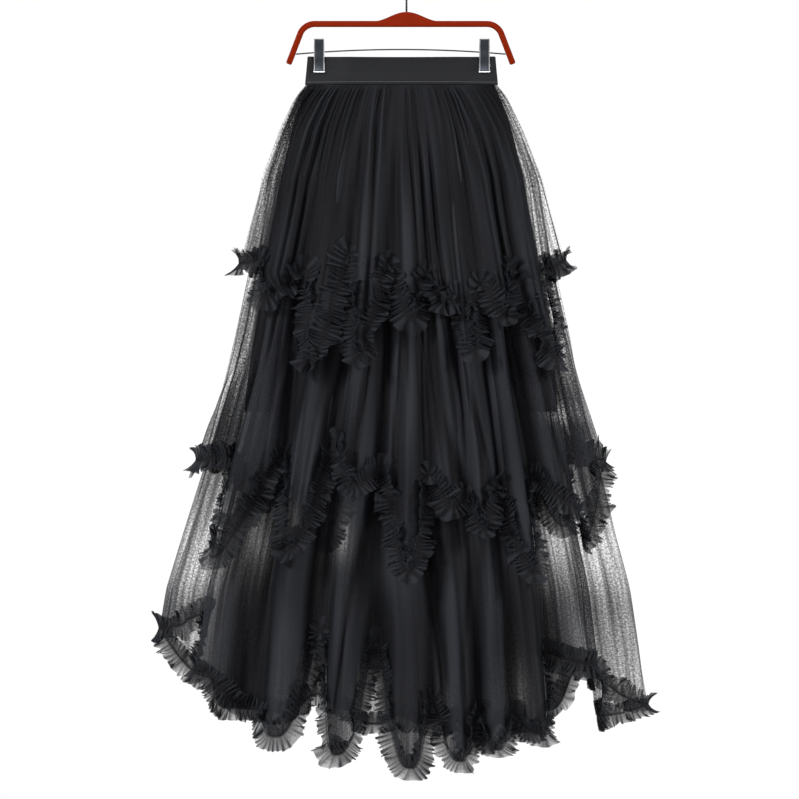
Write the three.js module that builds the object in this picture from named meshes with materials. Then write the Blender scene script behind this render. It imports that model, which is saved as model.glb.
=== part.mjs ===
// Long tulle skirt in three ruffled tiers, held flat by its elastic waistband in the two clips of a hanger.
// Units are millimetres. +Z is up, +X is to the right seen from the front, and the front faces -Y.
// The origin is the point inside the top of the hook that rests on a rail.
import * as THREE from "three";

// Driving dimensions: heights
const HANGER_TOP_Z = -78; // top of the hump that the hook's stem stands on
const BAND_TOP_Z = -140.3;
const BAND_HEIGHT = 40;
const SEAM_GAP = 0.3; // between two pieces that are sewn or pressed together
const SEAM_Z = BAND_TOP_Z - BAND_HEIGHT - SEAM_GAP; // where the gathered tulle starts

// Driving dimensions: the skirt
const TULLE_WALL = 1;
const BAND_WALL = 2;
const FLAT_SKIRT_SQUARENESS = 5; // how blunt the section's ends are at the waist, where it hangs flat
const FULL_SKIRT_SQUARENESS = 2.3; // and lower down, where it is nearly an ellipse
const ROUNDED_OUT_BY = 200; // depth below the seam where the section has its full roundness
const OUTLINE_STEPS = 720;
const DIRECTION_REACH = 0.004; // share of the way around, to each side, that an outward direction is taken over
const SIDE_SEAM_INSET = 0.25; // by which each panel stops short of the side seam
const COLUMNS = 96; // places around the skirt where every layer and ruffle has a point
const GATHERS = 32;
const LINING_COLUMNS = COLUMNS / 2;
const LINING_FOLDINESS = 0.35; // the lining's flutes are this much as high as the tiers'
const WIDE_FLUTE = 7; // columns from ridge to ridge from which a flute has its full height
const RUFFLE_WALL = 1.4; // measured outwards, so that it is about 1 mm where the strip runs up and down
const RUFFLE_WING = 18; // the ruffle's width on each side of its stitch line
const RUFFLE_SLANT = 1.7; // how much longer a wing may be along the cloth where the hem is steep
const RUFFLE_LOW = 5; // how far a pleat's valley and ridge stand off the cloth
const RUFFLE_HIGH = 11;
const STITCH_ABOVE_HEM = 2;

// Half width and half depth of each layer, by depth below the waist seam.
const SECTIONS = {
  upper: [
    { below: 0, halfWidth: 134.5, halfDepth: 17 },
    { below: 20, halfWidth: 148, halfDepth: 30 },
    { below: 60, halfWidth: 166.5, halfDepth: 49 },
    { below: 130, halfWidth: 189.5, halfDepth: 68 },
    { below: 245, halfWidth: 217, halfDepth: 89 },
    { below: 330, halfWidth: 241, halfDepth: 100 },
    { below: 430, halfWidth: 262, halfDepth: 118 },
  ],
  middle: [
    { below: 0, halfWidth: 133, halfDepth: 15.5 },
    { below: 20, halfWidth: 145.8, halfDepth: 27.6 },
    { below: 60, halfWidth: 163, halfDepth: 45.5 },
    { below: 130, halfWidth: 186, halfDepth: 62.5 },
    { below: 245, halfWidth: 201, halfDepth: 79 },
    { below: 400, halfWidth: 231, halfDepth: 100 },
    { below: 530, halfWidth: 264, halfDepth: 122 },
    { below: 700, halfWidth: 304, halfDepth: 150 },
  ],
  lower: [
    { below: 0, halfWidth: 131.5, halfDepth: 14 },
    { below: 20, halfWidth: 143.6, halfDepth: 25.2 },
    { below: 60, halfWidth: 159.5, halfDepth: 42 },
    { below: 130, halfWidth: 180.5, halfDepth: 57 },
    { below: 245, halfWidth: 194, halfDepth: 70 },
    { below: 400, halfWidth: 223, halfDepth: 90 },
    { below: 530, halfWidth: 254, halfDepth: 111 },
    { below: 704, halfWidth: 298, halfDepth: 137 },
    { below: 980, halfWidth: 335, halfDepth: 165 },
  ],
  lining: [
    { below: 0, halfWidth: 130, halfDepth: 12.5 },
    { below: 20, halfWidth: 139.5, halfDepth: 18 },
    { below: 60, halfWidth: 153, halfDepth: 29 },
    { below: 130, halfWidth: 170, halfDepth: 40 },
    { below: 245, halfWidth: 186, halfDepth: 52 },
    { below: 400, halfWidth: 209, halfDepth: 68 },
    { below: 500, halfWidth: 216, halfDepth: 78 },
  ],
};

// The skirt's middle line, which hangs a little left of the hook at the waist.
const MIDDLE_LINE = [
  { below: 0, x: -7 },
  { below: 351, x: -5 },
  { below: 704, x: -12 },
];

// How far the folds stand out from the section, by depth below the seam.
const FOLD_HEIGHTS = [
  { below: 0, flute: 0, gather: 0 },
  { below: 20, flute: 0.5, gather: 1.3 },
  { below: 60, flute: 2, gather: 1.8 },
  { below: 130, flute: 5, gather: 1.4 },
  { below: 245, flute: 8.5, gather: 0 },
  { below: 980, flute: 31, gather: 0 },
];

// One row for each flute: the columns of its ridge and of the valley after it, counted from the left side over
// the front, and the hem's depth there on the upper, middle and lower tier. On the back the ridges hang behind
// the front's valleys.
const FLUTES = [
  { ridge: 0, ridgeHems: [250, 525, 760], valley: 4, valleyHems: [245, 518, 735] },
  { ridge: 7, ridgeHems: [300, 658, 815], valley: 11, valleyHems: [262, 518, 868] },
  { ridge: 14, ridgeHems: [395, 650, 914], valley: 17, valleyHems: [235, 497, 756] },
  { ridge: 19, ridgeHems: [385, 562, 926], valley: 22, valleyHems: [248, 535, 775] },
  { ridge: 25, ridgeHems: [328, 679, 956], valley: 27, valleyHems: [262, 540, 850] },
  { ridge: 29, ridgeHems: [310, 588, 935], valley: 31, valleyHems: [300, 570, 870] },
  { ridge: 32, ridgeHems: [375, 620, 920], valley: 34, valleyHems: [275, 553, 872] },
  { ridge: 36, ridgeHems: [326, 680, 900], valley: 38, valleyHems: [255, 546, 790] },
  { ridge: 41, ridgeHems: [385, 585, 805], valley: 44, valleyHems: [262, 640, 880] },
  { ridge: 48, ridgeHems: [245, 525, 848], valley: 52, valleyHems: [258, 511, 815] },
  { ridge: 56, ridgeHems: [310, 620, 825], valley: 58, valleyHems: [255, 545, 880] },
  { ridge: 61, ridgeHems: [380, 655, 915], valley: 63, valleyHems: [290, 560, 900] },
  { ridge: 65, ridgeHems: [345, 600, 930], valley: 67, valleyHems: [265, 540, 895] },
  { ridge: 69, ridgeHems: [395, 668, 905], valley: 72, valleyHems: [255, 530, 890] },
  { ridge: 74, ridgeHems: [335, 610, 905], valley: 77, valleyHems: [240, 515, 880] },
  { ridge: 79, ridgeHems: [385, 650, 862], valley: 82, valleyHems: [250, 525, 885] },
  { ridge: 86, ridgeHems: [300, 590, 880], valley: 91, valleyHems: [245, 530, 830] },
];

// Each tier: which hem it takes, and how far down its rows of points lie. Rows past the last fixed one are
// shares of what is left down to the hem.
const TIERS = [
  { name: "upper", hem: 0, fixedRows: [0, 20, 60, 130], sharesBelow: [1] },
  { name: "middle", hem: 1, fixedRows: [0, 20, 60, 130, 245], sharesBelow: [1] },
  { name: "lower", hem: 2, fixedRows: [0, 20, 60, 130, 245], sharesBelow: [0.5, 1] },
];
const LINING_ROWS = [0, 20, 60, 130, 245, 457];

// Stations along half of the band's front, as distances in from its folded end.
const BAND_STATIONS = [0, 0.45, 1.7, 3.4, 7.3, 15.3, 23.2, 34, 52, 74, 98];

// The band's section at some depths below its top edge. A pinch of 1 is held flat by the clips, 0 is free.
const BAND_ROWS = [
  { down: 0, halfWidth: 130.6, halfDepth: 9, pinch: 1 },
  { down: 10, halfWidth: 131.4, halfDepth: 9.5, pinch: 1 },
  { down: 21, halfWidth: 132.4, halfDepth: 11, pinch: 1 },
  { down: 30, halfWidth: 133.3, halfDepth: 13.5, pinch: 0.4 },
  { down: BAND_HEIGHT, halfWidth: 134.2, halfDepth: 16, pinch: 0 },
];

// Driving dimensions: the hanger
const HANGER_DEPTH = 9; // front to back
const HANGER_BAR_TOP_Z = -90.6;
const HANGER_BAR_HEIGHT = 7.2;
const HANGER_ARM_WIDTH = 8.4;
const HANGER_EDGE_ROUND = 2;
const HUMP_HALF_WIDTH = 42;
const HUMP_FULLNESS = 0.8; // below 1 the hump is broader than a plain cosine
const HUMP_STEPS = 14;
const ARM_BEND_RADIUS = 26;
const ARM_BEND_STEPS = 6;
const ARM_LENGTHS = { left: 169, right: 153 }; // from the hook's stem to each arm's tip
const ARM_TIP_Z = -149.5;
const ARM_SLOPE_DEG = 69; // of each arm, down from level
const WIRE_DIAMETER = 2;
const WIRE_END_Z = -137;
const WIRE_ARCH = 6.5; // how much higher its middle lies than its ends
const WIRE_SIDES = 8;
const WIRE_STEPS = 16;
const HOOK_WIRE_DIAMETER = 2.8;
const HOOK_INNER_RADIUS = 20;
const HOOK_TIP_DEG = 205; // where the hook ends, counted anticlockwise from +X
const HOOK_JOINS_DEG = -50; // where its curve meets the bend from the stem
const STEM_STRAIGHT = 24;
const STEM_BEND = { across: 0.42, drop: 1 }; // share of the way out to the hook's curve, and how far it sags
const HOOK_ARC_STEPS = 20;
const HOOK_STEPS = 44;

// Driving dimensions: the clips
const CLIP_WIDTH = 14.6;
const CLIP_X = { left: -122.2, right: 109.2 };
const JAW_WALL = 1.2;
const JAW_TOP_Z = -115.8;
const JAW_BITE_TOP_Z = -149;
const JAW_BITE_BOTTOM_Z = -159.5;
const JAW_LIP_Z = -162.7;
const JAW_TAB_SPREAD = 8.2; // a tab's inner face from the middle plane
const JAW_PIVOT_SPREAD = 4.6; // and a jaw's beside the wire
const JAW_FLARE = { out: 1.4, up: 8 }; // where the tab starts to lean out, from the pivot
const JAW_BEND_DOWN = 6; // below the pivot, where the jaw turns in to the band
const JAW_LIP_OUT = 1.6;
const SPRING_RADIUS = 4.2;
const SPRING_LENGTH = 10;
const SPRING_SIDES = 16;
const PINCH_HALF_GAP = 0.35; // between the band's two layers, where a clip holds them together
const BAND_END_RADIUS = 3.4; // the band's fold at each side
const BAND_HELD_FROM = 7; // distances in from the fold: where the layers are together, where the clip ends,
const BAND_HELD_TO = 23.2; // and where they are fully apart again
const BAND_FREE_FROM = 62;

const material = (color, roughness, metalness = 0, opacity = 1) =>
  new THREE.MeshStandardMaterial({ color, roughness, metalness, opacity, transparent: opacity < 1 });
const tulle = material(0x26262a, 0.9, 0, 0.75);
const liningCloth = material(0x17171a, 0.8);
const elastic = material(0x303034, 0.75);
const redLacquer = material(0xa8280f, 0.35);
const steel = material(0x9a9ca0, 0.35, 1);

const smooth = (t) => t * t * (3 - 2 * t);
const clamp01 = (t) => Math.min(1, Math.max(0, t));
const fade = (from, to, value) => smooth(clamp01((value - from) / (to - from)));
const wrap = (share) => share - Math.floor(share);

// A column of a table at a value of its key column, on straight lines between the rows.
function readTable(rows, key, value, column) {
  const next = rows.findIndex((row) => row[key] >= value);
  if (next <= 0) return next === 0 ? rows[0][column] : rows[rows.length - 1][column];
  const [a, b] = [rows[next - 1], rows[next]];
  return a[column] + ((b[column] - a[column]) * (value - a[key])) / (b[key] - a[key]);
}

// The outline of a section as points with the length walked so far, from the left end over the front.
function sectionOutline(halfWidth, halfDepth, squareness) {
  const points = [];
  for (let i = 0; i <= OUTLINE_STEPS; i++) {
    const turn = (2 * Math.PI * i) / OUTLINE_STEPS;
    const c = Math.cos(turn);
    const x = -halfWidth * Math.sign(c) * Math.abs(c) ** (2 / squareness);
    const y = -halfDepth * Math.sin(turn);
    const last = points[i - 1];
    points.push({ x, y, walked: last ? last.walked + Math.hypot(x - last.x, y - last.y) : 0 });
  }
  return points;
}

// The point at a share of the way around an outline, and the outward direction there.
function pointAround(outline, share) {
  const length = outline[outline.length - 1].walked;
  const at = (s) => {
    const goal = wrap(s) * length;
    const i = Math.max(1, outline.findIndex((p) => p.walked >= goal));
    const [a, b] = [outline[i - 1], outline[i]];
    const t = (goal - a.walked) / Math.max(b.walked - a.walked, 1e-9);
    return new THREE.Vector3(a.x + (b.x - a.x) * t, a.y + (b.y - a.y) * t, 0);
  };
  const along = at(share + DIRECTION_REACH).sub(at(share - DIRECTION_REACH));
  const outward = new THREE.Vector3(along.y, -along.x, 0).normalize();
  return { point: at(share), outward };
}

// Ridges and valleys in order around the skirt, each with how far it stands out and the three hem depths.
const FOLD_LINES = FLUTES.flatMap((f, i) => {
  const nextRidge = i + 1 < FLUTES.length ? FLUTES[i + 1].ridge : COLUMNS;
  const height = Math.min(1, (nextRidge - f.ridge) / WIDE_FLUTE);
  return [
    { column: f.ridge, out: height, hems: f.ridgeHems },
    { column: f.valley, out: -height, hems: f.valleyHems },
  ];
});

// The two fold lines beside a place around the skirt, and the smooth share of the way between them.
function betweenFolds(share) {
  const column = wrap(share) * COLUMNS;
  const count = FOLD_LINES.length;
  const passed = FOLD_LINES.findIndex((line) => line.column > column);
  const next = passed < 0 ? count : passed;
  const [a, b] = [FOLD_LINES[next - 1], FOLD_LINES[next % count]];
  const end = next < count ? b.column : COLUMNS;
  return { a, b, t: smooth((column - a.column) / (end - a.column)) };
}

function hemDepth(share, tier) {
  const { a, b, t } = betweenFolds(share);
  return a.hems[tier] + (b.hems[tier] - a.hems[tier]) * t;
}

function foldHeight(share, below) {
  const { a, b, t } = betweenFolds(share);
  const flute = a.out + (b.out - a.out) * t;
  const gather = Math.cos(2 * Math.PI * GATHERS * share);
  return (
    flute * readTable(FOLD_HEIGHTS, "below", below, "flute") +
    gather * readTable(FOLD_HEIGHTS, "below", below, "gather")
  );
}

// A layer's section at some depth, before it is folded: the point at a share, and the outward direction there.
function sectionPoint(layer, share, below) {
  const rows = SECTIONS[layer];
  const roundness = fade(0, ROUNDED_OUT_BY, below);
  const squareness =
    FLAT_SKIRT_SQUARENESS + (FULL_SKIRT_SQUARENESS - FLAT_SKIRT_SQUARENESS) * roundness;
  const outline = sectionOutline(
    readTable(rows, "below", below, "halfWidth"),
    readTable(rows, "below", below, "halfDepth"),
    squareness,
  );
  return pointAround(outline, share);
}

// A point of a layer's middle surface. foldiness scales the folds, from 0 for smooth cloth to 1.
function layerPoint(layer, share, below, foldiness) {
  const { point, outward } = sectionPoint(layer, share, below);
  point.addScaledVector(outward, foldiness * foldHeight(share, below));
  return point.add(new THREE.Vector3(readTable(MIDDLE_LINE, "below", below, "x"), 0, SEAM_Z - below));
}

// Walls of cloth

// The outward direction at each point of a grid of rows that run around the skirt. Along a level row it is level.
function gridNormals(rows, levelRows) {
  return rows.map((row, r) =>
    row.map((_, c) => {
      const n = row.length;
      const along = row[(c + 1) % n].clone().sub(row[(c + n - 1) % n]);
      const lower = rows[Math.min(r + 1, rows.length - 1)][c];
      const upper = rows[Math.max(r - 1, 0)][c];
      const normal = lower.clone().sub(upper).cross(along);
      if (levelRows.includes(r)) normal.setZ(0);
      return normal.normalize();
    }),
  );
}

// The two faces of a wall of some thickness around a grid, across the given directions.
function wallFaces(rows, directions, thickness) {
  const moved = (side) =>
    rows.map((row, r) =>
      row.map((p, c) => p.clone().addScaledVector(directions[r][c], (side * thickness) / 2)),
    );
  return { outer: moved(1), inner: moved(-1), directions };
}

// A closed solid from two faces with equal grids, each square of them split along its shorter diagonal.
// A ring joins its last column to its first.
function solidBetween(outer, inner, isRing) {
  const height = outer.length;
  const width = outer[0].length;
  const positions = [outer, inner].flatMap((face) => face.flatMap((row) => row.flatMap((p) => p.toArray())));
  const out = (r, c) => r * width + (c % width);
  const inn = (r, c) => height * width + out(r, c);
  const index = [];
  const quad = (a, b, c, d) => index.push(a, b, c, a, c, d);
  const lastColumn = isRing ? width : width - 1;
  for (let c = 0; c < lastColumn; c++) {
    for (let r = 0; r < height - 1; r++) {
      const next = (c + 1) % width;
      const falling = outer[r][c].distanceTo(outer[r + 1][next]);
      const rising = outer[r + 1][c].distanceTo(outer[r][next]);
      if (falling < rising) {
        quad(out(r, c), out(r + 1, c), out(r + 1, c + 1), out(r, c + 1));
        quad(inn(r, c), inn(r, c + 1), inn(r + 1, c + 1), inn(r + 1, c));
      } else {
        quad(out(r + 1, c), out(r + 1, c + 1), out(r, c + 1), out(r, c));
        quad(inn(r, c + 1), inn(r + 1, c + 1), inn(r + 1, c), inn(r, c));
      }
    }
    quad(out(0, c), out(0, c + 1), inn(0, c + 1), inn(0, c));
    quad(out(height - 1, c), inn(height - 1, c), inn(height - 1, c + 1), out(height - 1, c + 1));
  }
  if (!isRing)
    for (let r = 0; r < height - 1; r++) {
      quad(out(r, 0), inn(r, 0), inn(r + 1, 0), out(r + 1, 0));
      quad(out(r, width - 1), out(r + 1, width - 1), inn(r + 1, width - 1), inn(r, width - 1));
    }
  const geometry = new THREE.BufferGeometry();
  geometry.setAttribute("position", new THREE.Float32BufferAttribute(positions, 3));
  geometry.setIndex(index);
  geometry.computeVertexNormals();
  return geometry;
}

// Columns first to last of a face, with its two end columns drawn in from the side seams.
function panelOf(face, first, last) {
  return face.map((row) => {
    const n = row.length;
    const points = [];
    for (let c = first; c <= last; c++) points.push(row[c % n].clone());
    const end = points.length - 1;
    const drawIn = (at, towards) => {
      const step = points[towards].clone().sub(points[at]);
      points[at].add(step.setLength(SIDE_SEAM_INSET));
    };
    drawIn(0, 1);
    drawIn(end, end - 1);
    return points;
  });
}

const group = new THREE.Group();

function addMesh(name, geometry, meshMaterial) {
  const mesh = new THREE.Mesh(geometry, meshMaterial);
  mesh.name = name;
  group.add(mesh);
  return mesh;
}

// A layer of the skirt as a front and a back panel, sewn together at the sides.
function addPanels(name, faces, meshMaterial) {
  const half = faces.outer[0].length / 2;
  const sides = { front: [0, half], back: [half, 2 * half] };
  for (const [side, [first, last]] of Object.entries(sides)) {
    const panel = solidBetween(panelOf(faces.outer, first, last), panelOf(faces.inner, first, last), false);
    addMesh(`${name}_${side}`, panel, meshMaterial);
  }
}

const sharesAround = (count) => Array.from({ length: count }, (_, c) => c / count);

// Tiers and lining

// The rows of one tier's middle surface, from the waist seam down to its pointed hem.
function tierRows(tier) {
  const start = tier.fixedRows[tier.fixedRows.length - 1];
  const depths = [
    ...tier.fixedRows.map((depth) => () => depth),
    ...tier.sharesBelow.map((part) => (share) => start + (hemDepth(share, tier.hem) - start) * part),
  ];
  return depths.map((depthAt) =>
    sharesAround(COLUMNS).map((share) => layerPoint(tier.name, share, depthAt(share), 1)),
  );
}

// The ruffle along a tier's hem: a strip gathered on its middle line, with a pleated wing on each side.
// A wing lies along the cloth, and is longer there where the hem is steep, so that its width stays.
function ruffleFaces(tier, faces) {
  const hemRow = faces.outer[faces.outer.length - 1];
  const rowAbove = faces.outer[faces.outer.length - 2];
  const normals = faces.directions[faces.directions.length - 1];
  const n = hemRow.length;
  const rows = [[], [], []];
  const outwards = [];
  hemRow.forEach((p, c) => {
    const share = c / n;
    const down = p.clone().sub(rowAbove[c]).normalize();
    const along = hemRow[(c + 1) % n].clone().sub(hemRow[(c + n - 1) % n]).normalize();
    const squareToHem = along.cross(down).length();
    const reach = RUFFLE_WING / Math.max(squareToHem, 1 / RUFFLE_SLANT);
    const ridgeHeight = RUFFLE_LOW + (RUFFLE_HIGH - RUFFLE_LOW) * Math.min(1, squareToHem * RUFFLE_SLANT);
    const { outward } = sectionPoint(tier.name, share, hemDepth(share, tier.hem));
    const stitch = p
      .clone()
      .addScaledVector(normals[c], SEAM_GAP + TULLE_WALL)
      .addScaledVector(down, -STITCH_ABOVE_HEM);
    const isRidge = c % 2 === 0;
    const wing = (side, height) =>
      stitch.clone().addScaledVector(down, side * reach).addScaledVector(outward, height);
    rows[0].push(wing(-1, isRidge ? ridgeHeight : RUFFLE_LOW));
    rows[1].push(stitch);
    rows[2].push(wing(1, isRidge ? RUFFLE_LOW : ridgeHeight));
    outwards.push(outward);
  });
  return wallFaces(rows, [outwards, outwards, outwards], RUFFLE_WALL);
}

for (const tier of TIERS) {
  const rows = tierRows(tier);
  const faces = wallFaces(rows, gridNormals(rows, [0]), TULLE_WALL);
  addPanels(`tier_${tier.name}`, faces, tulle);
  const ruffle = ruffleFaces(tier, faces);
  addMesh(`ruffle_${tier.name}`, solidBetween(ruffle.outer, ruffle.inner, true), tulle);
}

const liningRows = LINING_ROWS.map((below) =>
  sharesAround(LINING_COLUMNS).map((share) => {
    const foldiness = below > ROUNDED_OUT_BY ? LINING_FOLDINESS : 0;
    return layerPoint("lining", share, below, foldiness);
  }),
);
const liningNormals = gridNormals(liningRows, [0, liningRows.length - 1]);
addPanels("lining", wallFaces(liningRows, liningNormals, TULLE_WALL), liningCloth);

// Elastic waistband

// Half the distance between the band's two layers, some way in from its folded end.
function bandHalfDepth(row, fromEnd) {
  const x = row.halfWidth - fromEnd;
  const free = row.halfDepth * Math.sqrt(1 - (x / row.halfWidth) ** FLAT_SKIRT_SQUARENESS);
  const inEnd = Math.min(fromEnd, BAND_END_RADIUS);
  const fold = Math.sqrt(BAND_END_RADIUS ** 2 - (BAND_END_RADIUS - inEnd) ** 2);
  const held = PINCH_HALF_GAP + BAND_WALL / 2;
  const folded = fold + (held - fold) * fade(BAND_END_RADIUS, BAND_HELD_FROM, fromEnd);
  const pinched = folded + (row.halfDepth - folded) * fade(BAND_HELD_TO, BAND_FREE_FROM, fromEnd);
  return free + (pinched - free) * row.pinch;
}

function bandRing(row) {
  const quarter = BAND_STATIONS.map((fromEnd) => ({
    x: row.halfWidth - fromEnd,
    y: fromEnd === 0 ? 0 : bandHalfDepth(row, fromEnd),
  }));
  const inward = quarter.slice(1);
  const frontLeft = quarter.map((p) => [-p.x, -p.y]);
  const frontRight = [...inward].reverse().map((p) => [p.x, -p.y]);
  const backRight = quarter.map((p) => [p.x, p.y]);
  const backLeft = [...inward].reverse().map((p) => [-p.x, p.y]);
  return [...frontLeft, ...frontRight, ...backRight, ...backLeft].map(
    ([x, y]) => new THREE.Vector3(MIDDLE_LINE[0].x + x, y, BAND_TOP_Z - row.down),
  );
}

const bandRows = BAND_ROWS.map(bandRing);
const bandFaces = wallFaces(bandRows, gridNormals(bandRows, [0, bandRows.length - 1]), BAND_WALL);
addMesh("waistband", solidBetween(bandFaces.outer, bandFaces.inner, true), elastic);

// Hanger

// Points of an arc, from one angle to another in degrees.
function arcPoints(x, y, radius, fromDeg, toDeg, steps) {
  return Array.from({ length: steps + 1 }, (_, i) => {
    const turn = THREE.MathUtils.degToRad(fromDeg + ((toDeg - fromDeg) * i) / steps);
    return new THREE.Vector2(x + radius * Math.cos(turn), y + radius * Math.sin(turn));
  });
}

// One shoulder of the hanger seen from the front, with its arm pointing right: the outer or the inner edge.
function shoulderEdge(length, inset) {
  const slope = THREE.MathUtils.degToRad(ARM_SLOPE_DEG);
  const radius = ARM_BEND_RADIUS - inset;
  const drop = ARM_BEND_RADIUS * (1 - Math.cos(slope));
  const armRun = (HANGER_BAR_TOP_Z - drop - ARM_TIP_Z) / Math.tan(slope);
  const centreX = length - armRun - ARM_BEND_RADIUS * Math.sin(slope);
  const centreZ = HANGER_BAR_TOP_Z - ARM_BEND_RADIUS;
  const tip = new THREE.Vector2(
    length - inset * Math.sin(slope),
    ARM_TIP_Z - inset * Math.cos(slope),
  );
  return [...arcPoints(centreX, centreZ, radius, 90, 90 - ARM_SLOPE_DEG, ARM_BEND_STEPS), tip];
}

function hangerBody() {
  const mirrored = (points) => points.map((p) => new THREE.Vector2(-p.x, p.y)).reverse();
  const hump = [];
  const humpHeight = HANGER_TOP_Z - HANGER_BAR_TOP_Z;
  for (let i = 0; i <= HUMP_STEPS; i++) {
    const x = HUMP_HALF_WIDTH * ((2 * i) / HUMP_STEPS - 1);
    const bell = ((1 + Math.cos((Math.PI * x) / HUMP_HALF_WIDTH)) / 2) ** HUMP_FULLNESS;
    hump.push(new THREE.Vector2(x, HANGER_BAR_TOP_Z + humpHeight * bell));
  }
  const top = [
    ...mirrored(shoulderEdge(ARM_LENGTHS.left, 0)),
    ...hump,
    ...shoulderEdge(ARM_LENGTHS.right, 0),
  ];
  const bottom = [
    ...mirrored(shoulderEdge(ARM_LENGTHS.left, HANGER_ARM_WIDTH)),
    ...shoulderEdge(ARM_LENGTHS.right, HANGER_ARM_WIDTH),
  ];
  // The straight bar is a little slimmer than the arms.
  for (const p of bottom) {
    const isOnBar = Math.abs(p.y - (HANGER_BAR_TOP_Z - HANGER_ARM_WIDTH)) < SEAM_GAP / 2;
    if (isOnBar) p.y = HANGER_BAR_TOP_Z - HANGER_BAR_HEIGHT;
  }
  // The bevel grows the outline, so the outline starts that much smaller.
  const outline = insetOutline([...top, ...bottom.reverse()], HANGER_EDGE_ROUND);
  const geometry = new THREE.ExtrudeGeometry(new THREE.Shape(outline), {
    depth: HANGER_DEPTH - 2 * HANGER_EDGE_ROUND,
    bevelSize: HANGER_EDGE_ROUND,
    bevelThickness: HANGER_EDGE_ROUND,
    bevelSegments: 2,
    steps: 1,
  });
  geometry.rotateX(Math.PI / 2);
  geometry.translate(0, HANGER_DEPTH / 2 - HANGER_EDGE_ROUND, 0);
  return geometry;
}

// A closed outline that turns clockwise, moved inwards by a distance.
function insetOutline(points, distance) {
  const n = points.length;
  return points.map((p, i) => {
    const before = p.clone().sub(points[(i + n - 1) % n]).normalize();
    const after = points[(i + 1) % n].clone().sub(p).normalize();
    const mean = before.add(after).normalize();
    const inward = new THREE.Vector2(mean.y, -mean.x);
    const spread = Math.max(0.5, Math.abs(inward.dot(new THREE.Vector2(after.y, -after.x))));
    return p.clone().addScaledVector(inward, distance / spread);
  });
}

// A round wire of a diameter along a curve.
function wireAlong(curve, diameter, steps) {
  const lastDeg = 360 - 360 / WIRE_SIDES;
  const section = new THREE.Shape(arcPoints(0, 0, diameter / 2, 0, lastDeg, WIRE_SIDES - 1));
  return new THREE.ExtrudeGeometry(section, { steps, extrudePath: curve, bevelEnabled: false });
}

function hookCurve() {
  const radius = HOOK_INNER_RADIUS + HOOK_WIRE_DIAMETER / 2;
  const centreZ = -HOOK_INNER_RADIUS;
  const stemBottom = HANGER_TOP_Z + SEAM_GAP;
  const stemTop = stemBottom + STEM_STRAIGHT;
  const at = (p) => new THREE.Vector3(p.x, 0, p.y);
  const around = arcPoints(0, centreZ, radius, HOOK_JOINS_DEG, HOOK_TIP_DEG, HOOK_ARC_STEPS).map(at);
  const stem = [0, 0.35, 0.7, 1].map(
    (part) => new THREE.Vector3(0, 0, stemBottom + (stemTop - stemBottom) * part),
  );
  const bendZ = (stemTop + around[0].z) / 2 - STEM_BEND.drop;
  const bend = new THREE.Vector3(around[0].x * STEM_BEND.across, 0, bendZ);
  return new THREE.CatmullRomCurve3([...stem, bend, ...around], false, "centripetal");
}

function barCurve() {
  const slope = Math.tan(THREE.MathUtils.degToRad(ARM_SLOPE_DEG));
  const armInside = (length) =>
    length - (WIRE_END_Z - ARM_TIP_Z) / slope - HANGER_ARM_WIDTH / Math.sin(Math.atan(slope)) - 2 * SEAM_GAP;
  const from = -armInside(ARM_LENGTHS.left);
  const to = armInside(ARM_LENGTHS.right);
  const points = Array.from({ length: WIRE_STEPS + 1 }, (_, i) => {
    const t = i / WIRE_STEPS;
    return new THREE.Vector3(from + (to - from) * t, 0, WIRE_END_Z + WIRE_ARCH * 4 * t * (1 - t));
  });
  return new THREE.CatmullRomCurve3(points);
}

addMesh("hanger_body", hangerBody(), redLacquer);
addMesh("hanger_hook", wireAlong(hookCurve(), HOOK_WIRE_DIAMETER, HOOK_STEPS), steel);
const bar = barCurve();
addMesh("hanger_bar", wireAlong(bar, WIRE_DIAMETER, WIRE_STEPS), steel);

// Clips

// The wire's height at a place along it, and its slope there in radians.
function wireAt(x) {
  const points = bar.getPoints(WIRE_STEPS);
  const i = points.findIndex((p) => p.x >= x);
  const [a, b] = [points[i - 1], points[i]];
  return { height: a.z + ((b.z - a.z) * (x - a.x)) / (b.x - a.x), slope: Math.atan2(b.z - a.z, b.x - a.x) };
}

// One jaw as a bent plate, standing on the front side of the band.
function jawGeometry(pivotZ) {
  const biteFace = PINCH_HALF_GAP + BAND_WALL + SEAM_GAP;
  const inner = [
    [JAW_TAB_SPREAD, JAW_TOP_Z],
    [JAW_PIVOT_SPREAD + JAW_FLARE.out, pivotZ + JAW_FLARE.up],
    [JAW_PIVOT_SPREAD, pivotZ],
    [JAW_PIVOT_SPREAD, pivotZ - JAW_BEND_DOWN],
    [biteFace, JAW_BITE_TOP_Z],
    [biteFace, JAW_BITE_BOTTOM_Z],
    [biteFace + JAW_LIP_OUT, JAW_LIP_Z],
  ];
  const outer = inner.map(([y, z]) => [y + JAW_WALL, z]).reverse();
  // The shape is drawn with x across the band and y up, and is extruded along the clip's width.
  const shape = new THREE.Shape([...inner, ...outer].map(([y, z]) => new THREE.Vector2(y, z)));
  const geometry = new THREE.ExtrudeGeometry(shape, { depth: CLIP_WIDTH, bevelEnabled: false });
  geometry.rotateX(Math.PI / 2);
  geometry.rotateZ(-Math.PI / 2);
  geometry.translate(CLIP_WIDTH / 2, 0, 0);
  return geometry;
}

// The coiled spring between the jaws, as a sleeve around the wire.
function springGeometry() {
  const bore = WIRE_DIAMETER / 2 + SEAM_GAP;
  const half = SPRING_LENGTH / 2;
  const profile = [
    [bore, -half],
    [SPRING_RADIUS, -half],
    [SPRING_RADIUS, half],
    [bore, half],
    [bore, -half],
  ].map(([r, h]) => new THREE.Vector2(r, h));
  return new THREE.LatheGeometry(profile, SPRING_SIDES).rotateZ(Math.PI / 2);
}

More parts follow.
